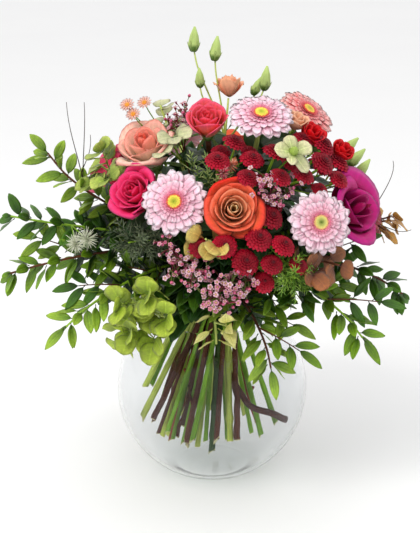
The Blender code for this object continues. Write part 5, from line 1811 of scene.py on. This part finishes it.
def skirt(mould, route, rng, slot):
    """Leaves low on a stem, that hang round the tie and over the vase's mouth, mostly painted near-black as
    shade under the bouquet.
    """
    above = np.nonzero(route.line[:, 2] > TIE_HEIGHT)[0]
    first = route.at[above[0]]
    for k in range(8):
        base = route.place(first + 0.005 * k + rng.uniform(0, 0.005))
        out = unit(np.array([base[0], base[1], 0.0]) + rng.normal(0, 0.010, 3) * [1, 1, 0])
        out = turned_about(out, np.array([0, 0, 1.0]), rng.uniform(-0.5, 0.5))
        along = unit(out + np.array([0, 0, rng.uniform(-0.40, 0.15)]))
        size = rng.uniform(0.044, 0.060)
        tones = lit(SKIRT_TONES[0] if rng.random() < 0.7 else SKIRT_TONES[1])
        if (base + along * size)[2] > RIM_HEIGHT + 0.004:
            leaf(mould, base, along, np.array([0, 0, 0.5]) + out, size, rng.uniform(0.018, 0.026), "oval",
                 tones, rng, droop=0.22, slot=slot)


def bud(mould, centre, facing, radius, long, tones, rng):
    """A pointed bud in thin green sepals."""
    frame = frame_about(facing)
    low, high = lit(tones)
    mould.turned(centre, frame, radius, [(-1.2, 0.4), (-0.5, 0.85), (0, 1), (long * 0.5, 0.72), (long, 0.16)],
                 [low, low, high, high, high * 1.1], 12, 0)
    for k in range(5):
        ray_petal(mould, centre - facing * radius * 1.1, frame, 2 * math.pi * k / 5, radius * 0.5,
                  radius * 1.25, radius * 0.35, 1.6, -0.5, [(0, low * 0.8), (1, high * 0.9)], rng)


def open_bloom(mould, centre, facing, radius, rng, tones=((250, 190, 150), (246, 150, 120))):
    """A half-open flower of soft overlapping petals."""
    frame = frame_about(facing)
    pale, deep = lit(tones)
    for k in range(14):
        share = k / 13
        rose_petal(mould, centre - facing * radius * 0.8, frame, k * GOLDEN_TURN, radius * 0.1,
                   radius * (0.25 + 0.7 * share), radius * (1.7 - 0.35 * share), 1.5 - 0.5 * share,
                   radius * 0.25 * share, (deep, pale, pale * 0.6 + deep * 0.4), rng)


# Each kind of spray's stem tones, materials and slot
SPRAY_LOOKS = {
    "santini": (GREEN_STEM, ["button", "stem", "dark_leaf"], "santini_crimson"),
    "lisianthus": (PALE_STEM, ["bud", "stem", "dark_leaf"], "lisianthus_green"),
    "waxflower": (WOODY_STEM, ["waxflower", "wood", "dark_leaf"], "waxflower_pink"),
}


def spray_piece(name, route, places, twigs, heads, looks, rng):
    """A spray with its forked stem, its heads and the leaves below them."""
    kind, rows = SPRAYS[name]
    tones, wanted, slot = SPRAY_LOOKS[kind]
    mould = Mould()
    stem(mould, route, tones, rng)
    routes = [route] + [twigs[f"{name}.{number}"][1] for number in range(1, len(rows))]
    for twig in routes[1:]:
        stem(mould, twig, tones, rng, 8)
    for number, (_, radius) in enumerate(rows):
        centre = places[f"{name}.{number}"]
        facing = unit(spray_facing(centre) + rng.normal(0, 0.12, 3))
        if kind == "santini":
            button(mould, centre, facing, radius * 1.12, rng)
            twin(mould, routes[number], centre, facing, radius, heads, rng)
        elif kind == "waxflower":
            cluster(mould, routes[number], centre, rng)
        elif head_kind(kind, radius) == "open":
            open_bloom(mould, centre, facing, radius, rng)
        else:
            bud(mould, centre, facing, radius, 2.9, ((88, 120, 48), (176, 198, 116)), rng)
    extras(mould, name, route, rng)
    skirt(mould, route, rng, 2)
    if kind in HEAD_LEAVES:
        head_leaves(mould, kind, route, rng, heads)
    mould.piece(f"{name}_spray", looks, wanted, name, slot)


def sprig(mould, root, leave, end, facing, radius, tones):
    """A thin side twig from a stem to a flower or leaf of its own."""
    span = np.linalg.norm(end - root)
    line = curve_between(root, end, unit(leave) * span * 0.8, facing * span * 0.7, 9)
    low, high = lit(tones)
    mould.tube(line, np.linspace(radius, radius * 0.7, 9), (low + high) / 2, 6, 1)


def side_stalk(mould, route, below, spot, facing, gap, radius):
    """A side twig to the back of a flower, from a stem at some length below its top."""
    root = route.place(route.length - below)
    sprig(mould, root, spot - root, spot - facing * gap, facing, radius, GREEN_STEM)


def twin(mould, route, centre, facing, radius, heads, rng):
    """A second, lower santini beside the first, where there is room for one."""
    frame = head_frame(facing)
    first = rng.uniform(0, 2 * math.pi)
    for k in range(12):
        angle = first + k * math.pi / 6
        size = radius * 0.92
        spot = centre + across_of(frame, angle) * radius * 2.05 - facing * radius * 0.9
        if heads.clear([spot], size * 0.8):
            heads.take(spot, size)
            button(mould, spot, facing, size, rng)
            side_stalk(mould, route, 0.03, spot, facing, size * 0.5, 0.0009)
            return


def cluster(mould, route, centre, rng):
    """Small waxflowers and round buds on hair-thin stalks about one twig's end."""
    wine, green = linear(132, 40, 60), linear(96, 110, 50)
    for k in range(16):
        s = route.length - rng.uniform(0.000, 0.020)
        root = route.place(s)
        way = unit(unit(centre - HEART) * rng.uniform(0.2, 1.1) + rng.normal(0, 0.55, 3))
        reach = rng.uniform(0.006, 0.019)
        end = root + way * reach
        mould.tube(np.array([root, root + way * reach * 0.5 + [0, 0, 0.001], end]), [0.0005, 0.0004, 0.0004],
                   green if k % 2 else wine, 5, 1)
        if k % 4 == 3:
            frame = frame_about(way)
            mould.turned(end, frame, 1, [(-0.0012, 0.0006), (0, 0.0017), (0.0016, 0.0014), (0.0024, 0.0004)],
                         [wine, wine * 1.6, linear(220, 110, 150), wine], 7, 0)
        else:
            floret(mould, end, unit(way + unit(centre - HEART) * 0.8), rng.uniform(0.0021, 0.0030), rng)


RED_BLOOM = ((226, 20, 30), (196, 6, 20))
PEACH_BLOOM = ((252, 206, 170), (244, 150, 116))
ASTER = ((240, 160, 50), (250, 206, 200), (244, 166, 120))
BRISTLES = 60


def daisy(mould, centre, facing, radius, rng):
    """A small open aster: a ring of narrow petals about a golden disc."""
    frame = frame_about(facing)
    disc, pale, deep = lit(ASTER)
    for layer, (count, reach, rise) in enumerate(((13, 1.0, 0.25), (11, 0.85, 0.5))):
        for k in range(count):
            ray_petal(mould, centre, frame, 2 * math.pi * (k + 0.5 * layer) / count, radius * 0.15,
                      radius * reach, radius * 0.30, rise, 0.1, [(0, deep), (1, pale)], rng, rows=5, cols=3)
    mould.turned(centre, frame, radius, [(-0.25, 0.16), (0.02, 0.30), (0.20, 0.28), (0.30, 0.12)],
                 [linear(90, 120, 50), disc, disc * 1.1, disc * 0.8], 10, 0)


def brush(mould, root, end, radius, tones, rng):
    """A fluffy head of fine bristles at the end of a thin twig."""
    low, high = lit(tones)
    ahead = unit(end - root)
    sprig(mould, root, ahead, end, ahead, 0.0008, GREEN_STEM)
    side = unit(np.cross(ahead, [0.3, 0.2, 0.93]))
    for k in range(BRISTLES):
        share = (k + 0.5) / BRISTLES
        out = turned_about(side, ahead, k * GOLDEN_TURN)
        way = unit(out * math.sin(2.6 * (1 - share) + 0.2) + ahead * math.cos(2.6 * (1 - share) + 0.2))
        start = end + ahead * radius * (share - 0.6)
        line = [start, start + way * radius * 0.6, start + way * radius * rng.uniform(0.8, 1.15)]
        mould.tube(np.array(line), [0.0005, 0.0004, 0.0002], low + (high - low) * rng.uniform(0, 1), 4, 1)


# Open flowers among a spray's heads: place, radius, nod of the face, tones, stalk's length below the top
OPEN_FLOWERS = {
    "santini_3": (((0.095, -0.046, 0.371), 0.012, (0, -0.3, 0), RED_BLOOM, 0.045),
                  ((0.126, -0.032, 0.352), 0.011, (0, -0.3, 0), RED_BLOOM, 0.045)),
    "lisianthus_1": (((0.080, -0.040, 0.383), 0.011, (0, -0.2, 0.4), PEACH_BLOOM, 0.06),),
}
DAISIES = ((-0.082, -0.024, 0.396), (-0.076, -0.030, 0.388), (-0.066, -0.012, 0.396))
# The pale leaves about a bud: turn about the bud, length
PALE_LEAVES = ((0.3, 0.021), (1.7, 0.019), (3.0, 0.023), (4.2, 0.016), (5.1, 0.022))
PALE_HEART = np.array((0.074, -0.092, 0.364))
PINK_BRUSHES = (((0.010, -0.097, 0.346), 0.008, ((236, 60, 100), (252, 190, 190))),
                ((0.018, -0.090, 0.352), 0.006, ((240, 90, 60), (252, 200, 170))))
FILLER_TIPS = ((-0.014, -0.094, 0.350), (-0.006, -0.088, 0.362), (-0.020, -0.084, 0.362),
               (0.005, -0.106, 0.344), (0.015, -0.100, 0.348), (-0.004, -0.100, 0.350))


def extras(mould, name, route, rng):
    """The odd flowers that stand among a spray's own heads."""
    for spot, radius, nod, tones, below in OPEN_FLOWERS.get(name, ()):
        spot = np.array(spot)
        facing = unit(spray_facing(spot) + nod)
        open_bloom(mould, spot, facing, radius, rng, tones)
        side_stalk(mould, route, below, spot, facing, radius * 0.8, 0.0012)
    if name == "waxflower_4":
        for spot in DAISIES:
            spot = np.array(spot)
            facing = unit(spray_facing(spot) + [0, -0.8, 0])
            daisy(mould, spot, facing, 0.0078, rng)
            side_stalk(mould, route, 0.05, spot, facing, 0.003, 0.0008)
    elif name == "santini_2":
        facing = unit(spray_facing(PALE_HEART) + [0, -0.5, 0])
        frame = head_frame(facing)
        side_stalk(mould, route, 0.04, PALE_HEART, facing, 0.004, 0.0011)
        for turn, size in PALE_LEAVES:
            leaf(mould, PALE_HEART, across_of(frame, turn) + rng.uniform(0.1, 0.5) * facing,
                 facing + rng.normal(0, 0.2, 3), size, size * 0.68, "round",
                 [linear(150, 170, 90), linear(234, 224, 184)], rng, slot=2)
        bud(mould, PALE_HEART + facing * 0.003, facing, 0.0042, 1.8, ((96, 130, 50), (160, 186, 84)), rng)
    elif name == "santini_1":
        root = route.place(route.length - 0.04)
        for end, radius, tones in PINK_BRUSHES:
            brush(mould, root, np.array(end), radius, tones, rng)
        for tip in FILLER_TIPS:
            way = unit(np.array(tip) - HEART)
            needles(mould, tip - way * 0.026, way, 0.028, ((92, 126, 46), (190, 206, 128)), rng, 1)


def make_looks():
    """Every material of the flowers and leaves, by the name that pieces ask for it."""
    return {
        "gerbera": petal_surface("gerbera_petal", across=9.0, streak=0.14, sheen=0.05),
        "disc": petal_surface("gerbera_disc", streak=0.2, glow=0.0, sheen=0.0),
        "calyx": leaf_surface("green_calyx", veins=10.0, rib=0.2),
        "rose": petal_surface("rose_petal", (0.42, 0.6), streak=0.16, across=8.0, glow=0.12, sheen=0.04),
        "button": petal_surface("santini_petal", streak=0.25, across=4.0, glow=0.03, sheen=0.0),
        "bud": petal_surface("lisianthus_bud", streak=0.18, across=5.0, glow=0.06, sheen=0.0),
        "waxflower": petal_surface("waxflower_petal", (0.3, 0.5), streak=0.15, across=4.0, glow=0.08),
        "ruscus": leaf_surface("ruscus_leaf"),
        "eucalyptus": leaf_surface("eucalyptus_leaf", rough=(0.5, 0.7), rib=0.22, matt=0.08),
        "fern": leaf_surface("fern_needle", veins=4.0, rib=0.3),
        "dark_leaf": leaf_surface("dark_leaf", rib=0.35),
        "stem": stem_surface("green_stem"),
        "wood": stem_surface("woody_stem", rough=(0.6, 0.85), depth=0.0009, streak=0.4),
        "glass": glass_surface(),
        "twine": twine_surface(),
    }


def build():
    """All the pieces, each from the same settled stems, heads and leaves as its CAD node."""
    crowd, lines, radii_of, places = main_stems()
    routes = {name: Route(line, radii_of[name]) for name, line in lines.items()}
    twigs = side_twigs(crowd, lines, radii_of, routes, places)
    heads = Heads(crowd, places)
    garden = Garden()
    looks = make_looks()
    vase_piece(looks)
    tie_piece(looks)
    # Each plant draws from its own random numbers, so that one can change without the others
    for number, (name, row) in enumerate(BLOOMS.items()):
        kind, _, bearing, elevation, radius = row
        garden.add(bloom_rings(kind, places[name], direction(bearing, elevation), radius))
        garden.add(stem_rings(routes[name], [], corners=6))
        bloom_pieces(name, row, places[name], routes[name], heads, looks, np.random.default_rng(100 + number))
    for number, name in enumerate(SPRAYS):
        plant_spray(name, routes[name], places, twigs, garden)
        spray_piece(name, routes[name], places, twigs, heads, looks, np.random.default_rng(200 + number))
    bare = {name: stem_rings(routes[name], []) for name in BRANCHES}
    for rings in bare.values():
        garden.add(rings)
    makers = {"ruscus": ruscus_piece, "eucalyptus": eucalyptus_piece, "fern": fern_piece}
    for number, (name, row) in enumerate(BRANCHES.items()):
        garden.remove(bare[name])
        rings, leaves = leafy_branch(row, routes[name], garden)
        garden.add(rings)
        makers[row[0]](name, row, routes[name], leaves, heads, looks, np.random.default_rng(300 + number))


stage()
build()
